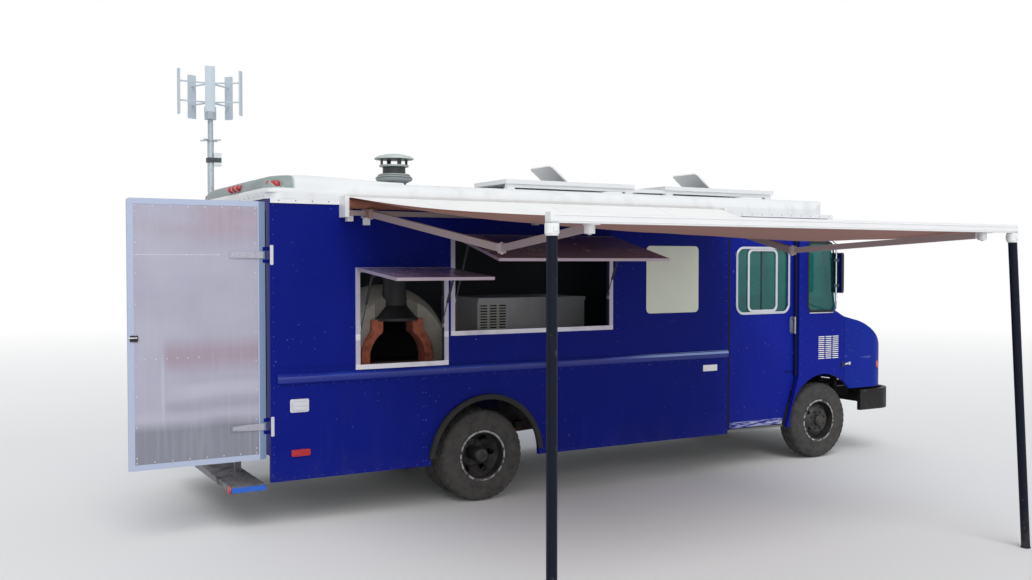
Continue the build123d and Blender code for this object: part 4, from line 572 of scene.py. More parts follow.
sign_paint = sign_paint.blotch(2.4, 0.35, 0.8, (0.58, 0.62, 0.52), 0.5).done()
hearth_stone = Finish("hearth_stone", (0.20, 0.105, 0.075), 0.9, 0.0, 0.3, 12.0, 90.0, 0.6)
hearth_stone = hearth_stone.blotch(6.0, 0.5, 0.65, (0.07, 0.045, 0.036), rough=0.95).done(0.003)
seat_vinyl = Finish("seat_vinyl", (0.028, 0.029, 0.033), 0.6, 0.0, 0.2, 8.0, 420.0, 0.5, 0.35).done(0.0008)
LENS = (0.25, 0.0, 0.2, 30.0, 300.0, 0.1)
red_lens = Finish("red_lens", (0.40, 0.008, 0.018), *LENS, Coat_Weight=0.3).done()
amber_lens = Finish("amber_lens", (0.75, 0.12, 0.02), *LENS, Coat_Weight=0.3).done()
clear_lens = Finish("clear_lens", (0.72, 0.75, 0.76), 0.12, 0.35, 0.08, 30.0, 140.0, 0.4).done()
blue_rail = Finish("blue_rail", (0.01, 0.10, 0.50), 0.4, 0.0, 0.2, 8.0, 220.0, 0.1).done()
louvre_light = Finish("louvre_panel", (0.80, 0.80, 0.76), 0.5, 0.0, 0.06, 5.0, 240.0, 0.05).done()
slot_shade = Finish("slot_shade", (0.004, 0.004, 0.005), 0.9, 0.0, 0.2, 8.0, 200.0, 0.1, 0.1).done()
mirror_face = Finish("mirror_face", (0.16, 0.18, 0.20), 0.06, 1.0, 0.05, 3.0, 3.0, 0.0).done()
solar = Finish("solar_frame_and_glass", (0.72, 0.73, 0.74), 0.4, 0.2, 0.05, 4.0, 220.0, 0.05).done()
glass = Finish(
    "tinted_glass", (0.03, 0.29, 0.27), 0.04, 0.0, 0.06, 0.8, 3.0, 0.0, 0.4,
    Transmission_Weight=0.72, IOR=1.45,
).done(0.0002)

floor_metal = Finish("floor_plate", (0.16, 0.16, 0.165), 0.5, 0.6, 0.15, 2.0, 90.0, 0.15)
slant = floor_metal.math("MULTIPLY", floor_metal.math("ADD", floor_metal.x, floor_metal.y), 150.0)
ribs = floor_metal.ramp(floor_metal.math("SINE", slant), 0.6, 0.9)
floor_metal = floor_metal.raise_by(floor_metal.math("MULTIPLY", ribs, 1.2)).dust(1000, 0.4).done()

awning_metal = Finish("awning_metal", (0.80, 0.80, 0.81), 0.4, 0.1, 0.05, 4.0, 200.0, 0.05)
between_ends = awning_metal.between("x", 590, 4371)
shaded_arms = awning_metal.times(
    between_ends, awning_metal.along("y", -55, -57), awning_metal.along("y", -3105, -3103),
    awning_metal.along("z", 2470, 2467),
)
# Painted shade: the arms are white metal, painted taupe for the awning's shade on them, redder next to the
# wall and half way to a lighter grey at the elbows.
awning_metal.paint(shaded_arms, (0.36, 0.285, 0.29), rough=0.5)
awning_metal.paint(awning_metal.times(shaded_arms, awning_metal.between("y", -158, -99), 0.7), (0.30, 0.14, 0.12))
awning_metal.paint(awning_metal.times(awning_metal.between("y", -1634, -1566), 0.5), (0.46, 0.42, 0.43))
awning_metal.paint(awning_metal.between("y", -3120, -3046), (0.74, 0.74, 0.75))
roller = awning_metal.ramp(awning_metal.away((0, -78, 2515), 0), 0.047, 0.0465)
awning_metal = awning_metal.paint(awning_metal.times(between_ends, roller), CLOTH_BROWN, rough=0.85).done()

mast_metal = Finish("mast_metal", (0.42, 0.47, 0.51), 0.45, 0.45, 0.1, 5.0, 200.0, 0.08)
mast_metal.blotch(18.0, 0.6, 0.7, (0.24, 0.25, 0.25), rough=0.7)
mast_box = mast_metal.box((101, 2148, 2960), (175, 2225, 3090), 1)
mast_metal.paint(mast_box, (0.66, 0.68, 0.70), rough=0.5, metal=0.0)
mast_metal.paint(mast_metal.between("z", 2995, 3040), (0.05, 0.055, 0.06), rough=0.6, metal=0.0)
mast_metal = mast_metal.done()

mirror_metal = Finish("mirror_parts", (0.72, 0.73, 0.75), 0.25, 0.9, 0.05, 6.0, 200.0, 0.03)
for low_y, high_y in ((-275, -108), (2228, 2395)):
    head = mirror_metal.box((5815, low_y, 1735), (5850, high_y, 2155))
    mirror_metal.paint(head, (0.012, 0.012, 0.013), rough=0.5, metal=0.0)
mirror_metal = mirror_metal.done()


def oven_plaster():
    """Pale plaster with a sooty mouth and chamber, and a dark flue with its hood."""
    plaster = Finish("oven_plaster", (0.36, 0.335, 0.29), 0.9, 0.0, 0.16, 6.0, 60.0, 0.9)
    plaster.blotch(11.0, 0.48, 0.7, (0.26, 0.235, 0.2), 0.5, rough=0.95)
    arch = plaster.away((ARCH_X, 0, ARCH_Z), 1)
    mouth = plaster.either(
        plaster.ramp(arch, 0.262, 0.256), plaster.box((1052, 200, 1195), (1328, 560, 1600)),
        plaster.box((930, 200, 1185), (1450, 560, 1250)),
    )
    soot = plaster.times(mouth, plaster.along("y", 331, 335))
    dome = plaster.ramp(plaster.away((ARCH_X, 730, ARCH_Z)), 0.452, 0.448)
    chamber = plaster.times(dome, plaster.along("y", 340, 420))
    plaster.paint(plaster.either(soot, chamber), (0.004, 0.004, 0.0045), rough=0.95)
    flue = plaster.away((FLUE_X, FLUE_Y, 0), 2)
    pipe = plaster.times(plaster.ramp(flue, 0.108, 0.104), plaster.along("z", 1600, 1610))
    hood = plaster.times(
        plaster.ramp(flue, 0.2, 0.198), plaster.along("z", 1573, 1574.5), plaster.along("y", 361, 359)
    )
    return plaster.paint(plaster.either(pipe, hood), (0.006, 0.0065, 0.008), rough=0.6).done(0.003)


def terracotta():
    """Burnt brick with joints that run out from the arch's middle."""
    brick = Finish("terracotta", (0.42, 0.115, 0.065), 0.85, 0.0, 0.25, 9.0, 120.0, 0.6)
    brick.blotch(16.0, 0.5, 0.7, (0.17, 0.048, 0.034), rough=0.9)
    brick.blotch(30.0, 0.6, 0.7, (0.44, 0.18, 0.11), 0.5, rough=0.9)
    rise = brick.math("SUBTRACT", brick.z, ARCH_Z / 1000)
    turn = brick.math("ARCTAN2", rise, brick.off(brick.x, metres_on("x", ARCH_X)))
    joint = brick.times(brick.ramp(brick.comb(turn, 5.5), 0.03, 0.015), brick.along("z", 1470, 1460))
    return brick.paint(brick.times(joint, 0.55), (0.16, 0.09, 0.065), rough=0.95).done(0.003)


chimney_metal = Finish("chimney_metal", (0.035, 0.037, 0.038), 0.55, 0.3, 0.25, 9.0, 200.0, 0.15)
chimney_metal.paint(chimney_metal.between("z", 2722, 2803), (0.30, 0.33, 0.34), rough=0.5, metal=0.4)
for low, high in ((2764, 2771), (2782, 2787)):
    chimney_metal.paint(chimney_metal.between("z", low, high), (0.03, 0.03, 0.03), rough=0.7)
chimney_metal.paint(chimney_metal.between("z", 2860, 2878), (0.34, 0.38, 0.38), rough=0.5)
chimney_metal.paint(chimney_metal.along("z", 2924, 2926), (0.50, 0.55, 0.54), rough=0.5)
upper = chimney_metal.along("z", 2730, 2950)
chimney_metal = chimney_metal.blotch(8.0, 0.55, 0.75, (0.10, 0.095, 0.08), mask=upper, rough=0.8).done()

THREAD_RATE = 1800.0
cloth_top = Finish(
    "awning_cloth_top", (0.84, 0.84, 0.83), 0.85, 0.0, 0.04, 1.2, 400.0, 0.1, Sheen_Weight=0.1
)
threads = [cloth_top.math("MULTIPLY", v, THREAD_RATE) for v in (cloth_top.x, cloth_top.y)]
weave = cloth_top.times(*(cloth_top.math("SINE", v) for v in threads))
cloth_top.raise_by(cloth_top.math("MULTIPLY", weave, 0.15))
seams = cloth_top.band(cloth_top.comb(cloth_top.x, 1 / 1.2), 0.0, 0.006, 0.001)
cloth_top.paint(cloth_top.times(seams, 0.6), (0.66, 0.66, 0.65))
cloth_top = cloth_top.blotch(2.0, 0.5, 0.8, (0.62, 0.62, 0.58), 0.3, rough=0.9).done(0.0006)
cloth_under = Finish("awning_cloth_under", CLOTH_BROWN, 0.85, 0.0, 0.08, 1.2, 400.0, 0.1, Sheen_Weight=0.1)
cloth_under = cloth_under.blotch(1.6, 0.4, 0.75, (0.22, 0.085, 0.058), 0.35, rough=0.9).done(0.0006)

solar_cell = Finish(
    "solar_cells", (0.007, 0.012, 0.045), 0.18, 0.1, 0.25, 14.0, 60.0, 0.03, Coat_Weight=0.4
)
bars = solar_cell.band(solar_cell.comb(solar_cell.y, 1 / 0.052), 0.0, 0.02, 0.004)
solar_cell = solar_cell.paint(bars, (0.45, 0.46, 0.48), rough=0.4).done(0.0003)

for names, material in (
    ("side_wall_right side_wall_left skirt_panels", wall_paint), ("rear_portal", portal_paint),
    ("cab_front", cab_paint), ("cab_door_right cab_door_left", door_paint), ("hood", nose_paint),
    ("oven_lid serving_lid", lid_reflection_paint), ("roof_cap", roof_paint), ("hatch_frames", silver_frame),
    ("rear_door_right rear_door_left", rear_door_metal),
    ("axles leaf_springs chassis_frame oven_stand", black_steel),
    ("knuckle_left knuckle_right engine_block", iron),
    ("rim_front_left rim_front_right rim_rear_left rim_rear_right", wheel_steel), ("arch_lips", lip_rubber),
    ("engine_cover steering_wheel oven_strut_tubes serving_strut_tubes grille", black_plastic),
    ("front_bumper", bumper_black), ("oven_strut_rods serving_strut_rods", rod_steel),
    ("prep_counter", stainless), ("exhaust fuel_tank", bare_alu),
    ("floor wheel_boxes entry_steps", floor_metal),
    ("rear_step", step_metal), ("awning_frame", awning_metal), ("awning_posts", post_paint),
    ("roof_vent_lid_front roof_vent_lid_rear", white_plastic), ("turbine_rotor", blade_paint),
    ("turbine_mast", mast_metal), ("cab_glass door_glass_left door_glass_right", glass),
    ("mirrors", mirror_metal), ("oven", oven_plaster()), ("chimney", chimney_metal),
    ("solar_panels", solar),
):
    for name in names.split():
        for holder in nodes[name].material_slots:
            holder.link = "OBJECT"
            holder.material = material


# Wheels

TYRE_PROFILE = [
    (206, -80), (226, -95), (232, -99), (238, -98), (275, -102), (310, -101.5), (314, -102.3),
    (322, -102.2), (326, -100.5), (352, -97), (368, -91), (379, -84), (386, -75), (389, -60),
    (390, -48), (383, -45), (383, -38), (391.5, -35), (392.5, -7), (384, -4), (384, 4), (392.5, 7),
]
TYRE_PROFILE += [(r, -w) for r, w in TYRE_PROFILE[17::-1]]
TREAD_STEPS = 200


def tyre(shape, x, y):
    """A road tyre with ribs, shoulder lugs and nicks in its ribs."""
    points = []
    for i, (across, up) in enumerate(circle(1, TREAD_STEPS)):
        for r, w in TYRE_PROFILE:
            lug = i % 5 == 0 and r > 367 and abs(w) > 55
            nick = i % 5 == 2 and r > 390 and abs(w) < 40
            r -= 7 if lug else 4 if nick else 0
            points.append((r * across, r * up, w))
    shape.stand((x, y, AXLE_Z), TO_RIGHT)
    shape.add(points, grid(TREAD_STEPS, len(TYRE_PROFILE), True, True))


def hub_fixings(x, face_y, hub_y):
    """Eight wheel nuts with studs and washers, and a hub cap with its six screws."""
    fixings = on_right(x, face_y, AXLE_Z)
    for i in range(8):
        a = math.tau * (i + 0.5) / 8
        for radius, sides, low, high in ((13, 6, -3, 15), (6.5, 10, 14, 23), (17.55, 16, -3, 2)):
            fixings.plate(moved(circle(radius, sides), 92 * math.cos(a), 92 * math.sin(a)), low, high)
    fixings.stand((x, hub_y, AXLE_Z), TO_RIGHT)
    fixings.turned([(0, 5), (24, 5), (29, 2), (31, -6), (0, -6)], 24)
    for across, up in circle(38, 6):
        fixings.plate(moved(circle(5, 6), across, up), -3, 3)
    return fixings


for side in ("right", "left"):
    for end, x, places, face_y, hub_y in (
        ("front", FRONT_WHEEL, (162.5,), 86, 46), ("rear", REAR_WHEEL, (162.5, 407.5), 275, 80)
    ):
        rubber = Shape()
        for y in places:
            tyre(rubber, x, y)
        fixings = hub_fixings(x, face_y, hub_y)
        if side == "left":
            rubber.mirrored(True)
            fixings.mirrored(True)
        body, node = f"wheel_{end}_{side}", f"tyre_{end}_{side}"
        piece = make(rubber, node + "_tread", tyre_rubber, body, crease=24)
        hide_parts(node)
        make(fixings, body + "_nuts", black_steel, body, bevel=1.2)


# Rivets along the body's seams

RIVET_PITCH = 112
CAP_RIVET_PITCH = 134
body_rivets = on_right()
for start, end in (
    ((26, 410), (26, 1095)), ((26, 1265), (26, 2490)), ((70, 390), (1330, 390)), ((2400, 390), (4500, 390)),
    ((1272, 415), (1272, 1095)), ((1298, 415), (1298, 1095)), ((2432, 415), (2432, 1095)),
    ((2458, 415), (2458, 1095)), ((4520, 415), (4520, 1095)), ((4520, 1215), (4520, 2490)),
    ((3222, 1215), (3222, 2490)), ((60, 1106), (4500, 1106)), ((5520, 900), (5520, 2480)),
    ((5650, 2316), (5900, 2316)), ((6132, 900), (6132, 1450)),
):
    body_rivets.row(start, end, RIVET_PITCH, 4, 2)
make(body_rivets.mirrored(), "body_rivets", rivet_paint, crease=60)

cap_rivets = on_right(y=-8)
cap_rivets.row((70, 2526), (5900, 2526), CAP_RIVET_PITCH, 5, 3)
cap_rivets.mirrored().stand((-16, 0, 0), TO_REAR)
cap_rivets.row((-110, 2566), (-2010, 2566), CAP_RIVET_PITCH, 5, 3)
make(cap_rivets, "cap_rivets", black_plastic, crease=60)

frame_rivets = on_right(y=-10)
for rear, front, low, high in HATCHES:
    for z in (low + 19, high - 28):
        frame_rivets.row((rear + 60, z), (front - 60, z), 150, 4, 1.6)
    for x in (rear + 12, front - 12):
        frame_rivets.row((x, low + 60), (x, high - 60), 150, 4, 1.6)
make(frame_rivets, "hatch_frame_rivets", bright_metal, crease=60)


# Rails, skirts, seals, liners, brackets and the radiator

glossy_blue = blue_paint("glossy_blue", (0.008, 0.02, 0.22), False)
glossy_blue.shader.inputs["Coat Weight"].default_value = 0.8
glossy_blue.shader.inputs["Coat Roughness"].default_value = 0.12
# Painted highlight: lighter blue patches along the rail's upper edge, and a bright pale-blue streak towards
# its front, stand for the sky mirrored in the gloss.
worn = glossy_blue.between("z", 1166, 1205)
glossy_blue.blotch(4.0, 0.45, 0.7, (0.02, 0.06, 0.40), mask=worn, rough=0.3, stretch=(0.4, 1, 3.0))
rail_highlight = glossy_blue.times(worn, glossy_blue.along("x", 3300, 3700), 0.85)
glossy_blue = glossy_blue.paint(rail_highlight, (0.26, 0.38, 0.72), rough=0.3).done()
bulge = [math.pi * i / 14 for i in range(1, 14)]
half_round = [(-4 - 21 * math.sin(a), 1157 - 40 * math.cos(a)) for a in bulge]
rub_rails = Shape().stand((50, 0, 0), TO_FRONT)
rub_rails.plate([(-4, 1117)] + half_round + [(-4, 1197)], 0, 4486)
make(rub_rails.mirrored(), "rub_rails", glossy_blue, bevel=3)

cap_skirts = on_right().plate([(4, 2504), (5958, 2504), (5952, 2546), (4, 2546)], -1, 8)
make(cap_skirts.mirrored(), "cap_skirts", roof_paint, bevel=2.5)

quarter_turn = [math.pi / 2 * i / 10 for i in range(10, -1, -1)]
arc = [(5635 + 330 * math.sin(a), 342 - 330 * math.cos(a)) for a in quarter_turn]
cap_corners = Shape().plate([(5600, 6), (5958, 6), (5958, 352)] + arc, 2534, 2539.5)
make(cap_corners.mirrored(), "cap_corners", roof_paint, bevel=1)

# Dark rubber seals at the cab doors' edges, wide enough to stand also for the shadowed gaps there: real
# seals and painted shade.
door_seals = Shape()
door_seals.block((4541, 7, 404), (4578, 38, 2398))
door_seals.block((5466, 24, 884), (5512, 46, 2398))
make(door_seals.mirrored(), "door_seals", navy_rubber, bevel=4)

wheel_liners = Shape()
for rear, front, top in ((1420, 2310, 906), (5354, 6100, 936)):
    wheel_liners.block((rear, 611, 703), (front, 618, top))
    wheel_liners.block((rear, 40, top - 5), (front, 611, top))
make(wheel_liners.mirrored(), "wheel_liners", navy_rubber, bevel=1)

radiator = Shape().block((6500, 690, 700), (6536, 1430, 1130))
for z in (700, 1130):
    radiator.block((6488, 676, z - 30), (6548, 1444, z + 30))
for i in range(37):
    radiator.block((6536, 697 + 20 * i, 730), (6541, 703 + 20 * i, 1100))
make(radiator, "radiator", black_plastic, bevel=1)

wall_brackets = Shape()
for x in (628, 2330, 4030):
    wall_brackets.block((x - 24, -57, 2376), (x + 24, 1, 2420.5))
    wall_brackets.block((x - 24, -34, 2420), (x + 24, 1, 2500))
make(wall_brackets, "awning_wall_brackets", white_plastic, bevel=3)


# Plates and covers on the right wall

sign = on_right(3859, 0, 1891.5).plate(rounded(620, 631, 44, 8), 0, 3)
make(sign, "sign_plate", sign_paint, bevel=0.8)
small_plate = on_right(4320, 0, 1030).plate(rounded(175, 60, 6, 3), 0, 2.5)
make(small_plate, "small_plate", louvre_light, bevel=0.6)

inlet = on_right(225, 0, 947)
inlet.plate(rounded(150, 104, 14, 4), 0, 7)
inlet.plate(rounded(112, 70, 12, 4), 7, 20)
inlet.plate(rounded(90, 10, 4, 2), 20, 24)
make(inlet, "inlet_cover", bright_metal, bevel=2.5)

marker = on_right(232, 0, 582)
marker.plate(rounded(150, 52, 12, 4), 0, 16)
marker.plate(rounded(128, 34, 10, 4), 16, 21)
for z in (-10, 0, 10):
    marker.block((-56, z - 1.5, 21), (56, z + 1.5, 22.5))
make(marker, "side_marker", red_lens, bevel=2)


# Roof's rear end and the lamps

def lamp(shape, place, out, width, height, depth):
    """A bun-shaped lamp lens on a thin base."""
    shape.stand(place, out)
    shape.plate(rounded(width + 10, height + 10, (height + 10) * 0.4, 5), 0, 4)
    steps = ((1.0, 4), (0.97, depth * 0.5), (0.86, depth * 0.8), (0.6, depth))
    bun(shape, [(width * s, height * s, height * s * 0.42, w) for s, w in steps])


roof_lamps = Shape()
for y in (840, 965, 1090):
    lamp(roof_lamps, (-4, y, 2664), (-0.97, 0, 0.24), 84, 50, 36)
make(roof_lamps, "roof_lamps", red_lens, bevel=1)

LEVELS = (
    (2590, -15, -7, 42), (2618, -15.5, -7.5, 44), (2625, -11, -3, 120), (2632, -9, -1, 188),
    (2664, -4, 4, 190), (2692, 6, 13, 186), (2710, 24, 28, 180), (2723, 62, 60, 172),
    (2731, 112, 104, 160), (2737, 190, 160, 140),
)
CORNER_STEPS = 12
RUN_STEPS = 8
RUN_END = 1150


def hood_level(z, x0, y0, r):
    """One level of the roof's rear end: from the front on the right, round the rear, to the left."""
    front_y = max(y0, -6 + (z - 2592) * 0.74) + 6
    half = []
    for i in range(RUN_STEPS):
        share = 1 - i / RUN_STEPS
        ease = share * share * (3 - 2 * share)
        drop = 26 * ease * min(1, max(0, (z - 2592) / 60))
        half.append((x0 + r + (RUN_END - x0 - r) * share, y0 + (front_y - y0) * ease, z - drop))
    for i in range(CORNER_STEPS + 1):
        a = math.pi / 2 * i / CORNER_STEPS
        half.append((x0 + r - r * math.sin(a), y0 + r - r * math.cos(a), z))
    return half + [(x, BODY_WIDTH - y, up) for x, y, up in reversed(half)]


levels = [hood_level(*level) for level in LEVELS]
n = len(levels[0])
top = n * (len(LEVELS) - 1)
faces = grid(len(LEVELS), n, closed=True)
for i in range(n // 2 - 1):
    faces.append((top + i, top + i + 1, top + n - 2 - i, top + n - 1 - i))
    faces.append((n - 1 - i, n - 2 - i, i + 1, i))
rear_hood = Shape().add(sum(levels, []), faces)
hood_paint = Finish("rear_hood_paint", ROOF_WHITE, 0.5, 0.0, 0.05, 1.4, 220.0, 0.08)
# Painted shade: the hood's rear end, which faces away from the light, is painted grey-green, with lighter
# patches in it.
shaded_end = hood_paint.times(hood_paint.along("x", 205, 180), hood_paint.along("z", 2622, 2626))
hood_paint.paint(shaded_end, (0.24, 0.285, 0.28), rough=0.6)
hood_paint = hood_paint.blotch(5.0, 0.5, 0.75, (0.38, 0.41, 0.40), 0.5, shaded_end, rough=0.7).done()
make(rear_hood, "roof_rear_hood", hood_paint, crease=50)

corner_lens, pods, step_lamps = Shape(), Shape(), Shape()
for y, turn in ((60, -1), (BODY_WIDTH - 60, 1)):
    out = (-0.7, turn * 0.7, 0.08)
    pods.stand((52, y + turn * 2, 2652), out).plate(rounded(142, 74, 34, 6), -18, 7)
    lamp(corner_lens, (45, y + turn * 7, 2652), out, 108, 46, 26)
    step_lamps.stand((-292, y - turn * 36, 326), TO_REAR)
    step_lamps.turned([(0, 14), (20, 13), (30, 8), (33, 0), (33, -4), (0, -4)], 28)
make(pods, "corner_lamp_pods", hood_paint, bevel=5, segments=3)
make(corner_lens, "corner_lamps", red_lens, bevel=1)
make(step_lamps, "step_lamps", red_lens, bevel=1)


# Rear doors: rivets, straps, hinge stile and latch

def leaf_shape(name):
    """A shape on a rear leaf's outer face: across from the hinge to the free edge, and up."""
    shape = Shape().stand((-46, BODY_WIDTH, 0), TO_REAR)
    if name == "right":
        shape.frame = Matrix.Translation((0, 40, 0)) @ Matrix(((-1, 0, 0), (0, 0, -1), (0, 1, 0))).to_4x4()
    return shape


HINGE_ZS = (800, 2110)
for name, hinge in (("right", 44), ("left", 70)):
    body = f"rear_door_{name}"
    free = hinge + 976
    inner_a, inner_b = hinge + 54, free - 54
    rivets, straps, latch, bar = (leaf_shape(name) for _ in range(4))
    for start, end, pitch in (
        ((inner_a, 2462), (inner_b, 2462), 118), ((inner_a, 604), (inner_b, 604), 118),
        ((inner_b, 640), (inner_b, 2420), 210), ((inner_a, 640), (inner_a, 2420), 210),
        ((hinge + 330, 2110), (inner_b - 10, 2110), 112), ((hinge + 480, 1352), (hinge + 860, 1352), 74),
    ):
        rivets.row(start, end, pitch, 5, 2)
    for z in HINGE_ZS:
        lower = [(-2, -27), (120, -24), (232, -13), (240, 0)]
        outline = lower + [(x, -dz) for x, dz in lower[2::-1]]
        straps.plate(moved(outline, hinge, z), 6, 8.5)
        for x, dz in ((60, 12), (60, -12), (120, 9), (120, -9), (180, 0), (216, 0)):
            straps.stud((hinge + x, z + dz, 8), 6, 3.5)
    if name == "right":
        stile = Shape()
        for low, high in ((551, 740), (860, 2050), (2170, 2515)):
            stile.block((-45, 43, low), (-23, 77, high))
        make(stile, f"{body}_hinge_stile", rear_door_metal, body, bevel=2)
    make(rivets, f"{body}_rivets", bright_metal, body, crease=60)
    make(straps, f"{body}_straps", bare_alu, body, bevel=1, crease=60)
    latch.plate(moved(rounded(56, 46, 8, 3), free - 40, 1506), 0, 9)
    latch.plate(moved(circle(13, 18), free - 40, 1506), 9, 16)
    bar.plate(moved(rounded(62, 10, 4, 3), free - 30, 1512), 15, 24)
    make(latch, f"{body}_latch", black_plastic, body, bevel=1.5)
    make(bar, f"{body}_latch_bar", chrome, body, bevel=1.5)

hinge_plates = Shape()
for z in HINGE_ZS:
    hinge_plates.stand((14, 0, z), TO_RIGHT).plate(rounded(26, 150, 5, 3), 0, 4)
    for dz in (-58, -40, 40, 58):
        hinge_plates.stud((0, dz, 4), 5, 3)
make(hinge_plates.mirrored(), "rear_hinge_plates", bright_metal, bevel=1, crease=60)


# Rear step: raised pattern and blue side rails

LOZENGE_TURN = 0.785
LOZENGE = ((-11, 0), (-5, -2.6), (5, -2.6), (11, 0), (5, 2.6), (-5, 2.6))
lozenges = Shape().stand((0, 0, 350), UPWARD, (0, 1, 0))
for i in range(14):
    for j in range(48):
        c, s = math.cos(LOZENGE_TURN), math.sin(LOZENGE_TURN) * (1 if (i + j) % 2 else -1)
        outline = [(c * u - s * v, s * u + c * v) for u, v in LOZENGE]
        lozenges.plate(moved(outline, -276 + i * 18.5, 84 + j * 41), 0, 1.8)
make(lozenges, "rear_step_pattern", step_metal)

side_rails = Shape().block((-286, 56, 306), (-22, 69.5, 346))
make(side_rails.mirrored(), "rear_step_rails", blue_rail, bevel=3)


# Cab doors: window frames, sliding panes, handle plates

WINDOW_REAR, WINDOW_LOW, WINDOW_FRONT, WINDOW_HIGH = 4691, 1534, 5406, 2206
win_x, win_z = (WINDOW_REAR + WINDOW_FRONT) / 2, (WINDOW_LOW + WINDOW_HIGH) / 2
win_w, win_h = WINDOW_FRONT - WINDOW_REAR, WINDOW_HIGH - WINDOW_LOW
pane_w = 0.56 * win_w
for side in ("right", "left"):
    ring = on_right(win_x, 52, win_z)
    ring.plate(rounded(win_w + 6, win_h + 6, 96, 12), 0, 8, rounded(win_w - 42, win_h - 42, 72, 12))
    ring.plate(rounded(win_w - 16, win_h - 16, 84, 12), 8, 11, rounded(win_w - 34, win_h - 34, 76, 12))
    pane = on_right(WINDOW_REAR + 0.22 * win_w + pane_w / 2, 66, win_z)
    pane.plate(rounded(pane_w, win_h - 34, 64, 8), 0, 12, rounded(pane_w - 50, win_h - 84, 44, 8))
    bar_x = WINDOW_REAR + 0.475 * win_w
    bars = on_right(y=70).block((bar_x, WINDOW_LOW + 34, 0), (bar_x + 14, WINDOW_HIGH - 34, 8))
    plate = on_right(5448, 52, 1408)
    plate.plate(rounded(64, 176, 30, 8), 0, 4)
    plate.plate(rounded(40, 100, 18, 8), 4, 8)
    plate.plate(moved(circle(9, 16), 0, -66), 4, 10)
    for shape, part, material, slot, bevel in (
        (ring, "window_frame", bright_metal, "aluminium", 2),
        (pane, "sliding_pane", bright_metal, "aluminium", 2),
        (bars, "window_bars", black_plastic, "rubber", 1.5),
        (plate, "handle_plate", handle_grey, "chrome", 1.5),
    ):
        if side == "left":
            shape.mirrored(True)
        make(shape, f"cab_door_{side}_{part}", material, f"cab_door_{side}", bevel=bevel)


# Front windows: rubber gaskets, trims and wipers

QUARTER = [(5622, 1550), (6022, 1550), (5962, 2255), (5622, 2255)]
SCREEN = Vector((6098, MIDDLE, 1505))
screen_slope = math.atan2(133, 1035)
screen_out = (math.cos(screen_slope), 0, math.sin(screen_slope))
screen_up = Vector((-screen_out[2], 0, screen_out[0]))


def soft_corners(corners, radius, inset=0.0, count=6):
    """An outline through given corners, each rounded, moved in by an inset."""
    n = len(corners)
    lines = []
    for i in range(n):
        a, b = Vector(corners[i]), Vector(corners[(i + 1) % n])
        d = (b - a).normalized()
        lines.append((a + Vector((-d.y, d.x)) * inset, d))
    inner = []
    for i in range(n):
        (p, d), (q, e) = lines[i - 1], lines[i]
        t = ((q - p).x * e.y - (q - p).y * e.x) / (d.x * e.y - d.y * e.x)
        inner.append(p + d * t)
    points = []
    for i in range(n):
        here, before, after = inner[i], inner[i - 1], inner[(i + 1) % n]
        u, v = (before - here).normalized(), (after - here).normalized()
        half = u.angle(v) / 2
        r = max(2.0, radius - inset)
        centre = here + (u + v).normalized() * (r / math.sin(half))
        start = here + u * (r / math.tan(half)) - centre
        for k in range(count + 1):
            a = (math.pi - 2 * half) * k / count
            c, s = math.cos(a), math.sin(a)
            points.append(tuple(centre + Vector((start.x * c - start.y * s, start.x * s + start.y * c))))
    return points


def on_screen(shape, up, offset):
    """Sets a shape on the windscreen, at a height up its slope and beside its middle."""
    return shape.stand(SCREEN + screen_up * up + Vector((0, offset, 0)), screen_out, screen_up)


gaskets = on_right().plate(soft_corners(QUARTER, 55, -14), -1, 6, soft_corners(QUARTER, 55, 8)).mirrored()
for offset in (-465, 465):
    on_screen(gaskets, 530, offset)
    gaskets.plate(rounded(910, 750, 74, 8), -1, 7, rounded(862, 702, 52, 8))
make(gaskets, "window_gaskets", lip_rubber, bevel=2.5)

trims = on_right().plate([(5640, 1524), (5990, 1524), (5994, 1534), (5640, 1534)], 0, 9)
make(trims.mirrored(), "quarter_window_trims", bright_metal, bevel=2)

wipers = Shape()
for offset in (-300, 560):
    on_screen(wipers, 150, offset)
    wipers.turned([(0, 34), (12, 33), (17, 26), (20, 0), (0, 0)], 20)
    wipers.pipe([(0, 0, 26), (-60, 120, 30), (-150, 300, 26)], 5, 8)
    wipers.block((-154, 120, 12), (-146, 520, 20))
    wipers.block((-153, 300, 20), (-147, 330, 28))
make(wipers, "wipers", black_plastic, bevel=1)

mirror_glass = Shape().stand((5826, -190, 1945), TO_REAR).plate(rounded(136, 396, 16, 5), -0.5, 2)
make(mirror_glass.mirrored(), "mirror_glasses", mirror_face, bevel=0.6)
mirror_backs = Shape().stand((5842, -190, 1945), TO_FRONT)
bun(mirror_backs, ((150, 410, 24, 0), (146, 406, 24, 10), (120, 372, 24, 22), (60, 250, 18, 28)))
make(mirror_backs.mirrored(), "mirror_backs", black_plastic)


# Nose: louvres, latches and lamps

louvres, louvre_backs = on_right(), on_right()
for x in (5812, 5914, 6016):
    for i in range(12):
        z = 1048 + i * 20.5
        louvres.plate(rectangle(x - 42, z, x + 42, z + 9), 0, 5)
    louvre_backs.plate(rectangle(x - 45, 1042, x + 45, 1288), 0, 1)
make(louvres.mirrored(), "cowl_louvres", louvre_light, bevel=1.5)
make(louvre_backs.mirrored(), "cowl_louvre_backs", cab_paint)

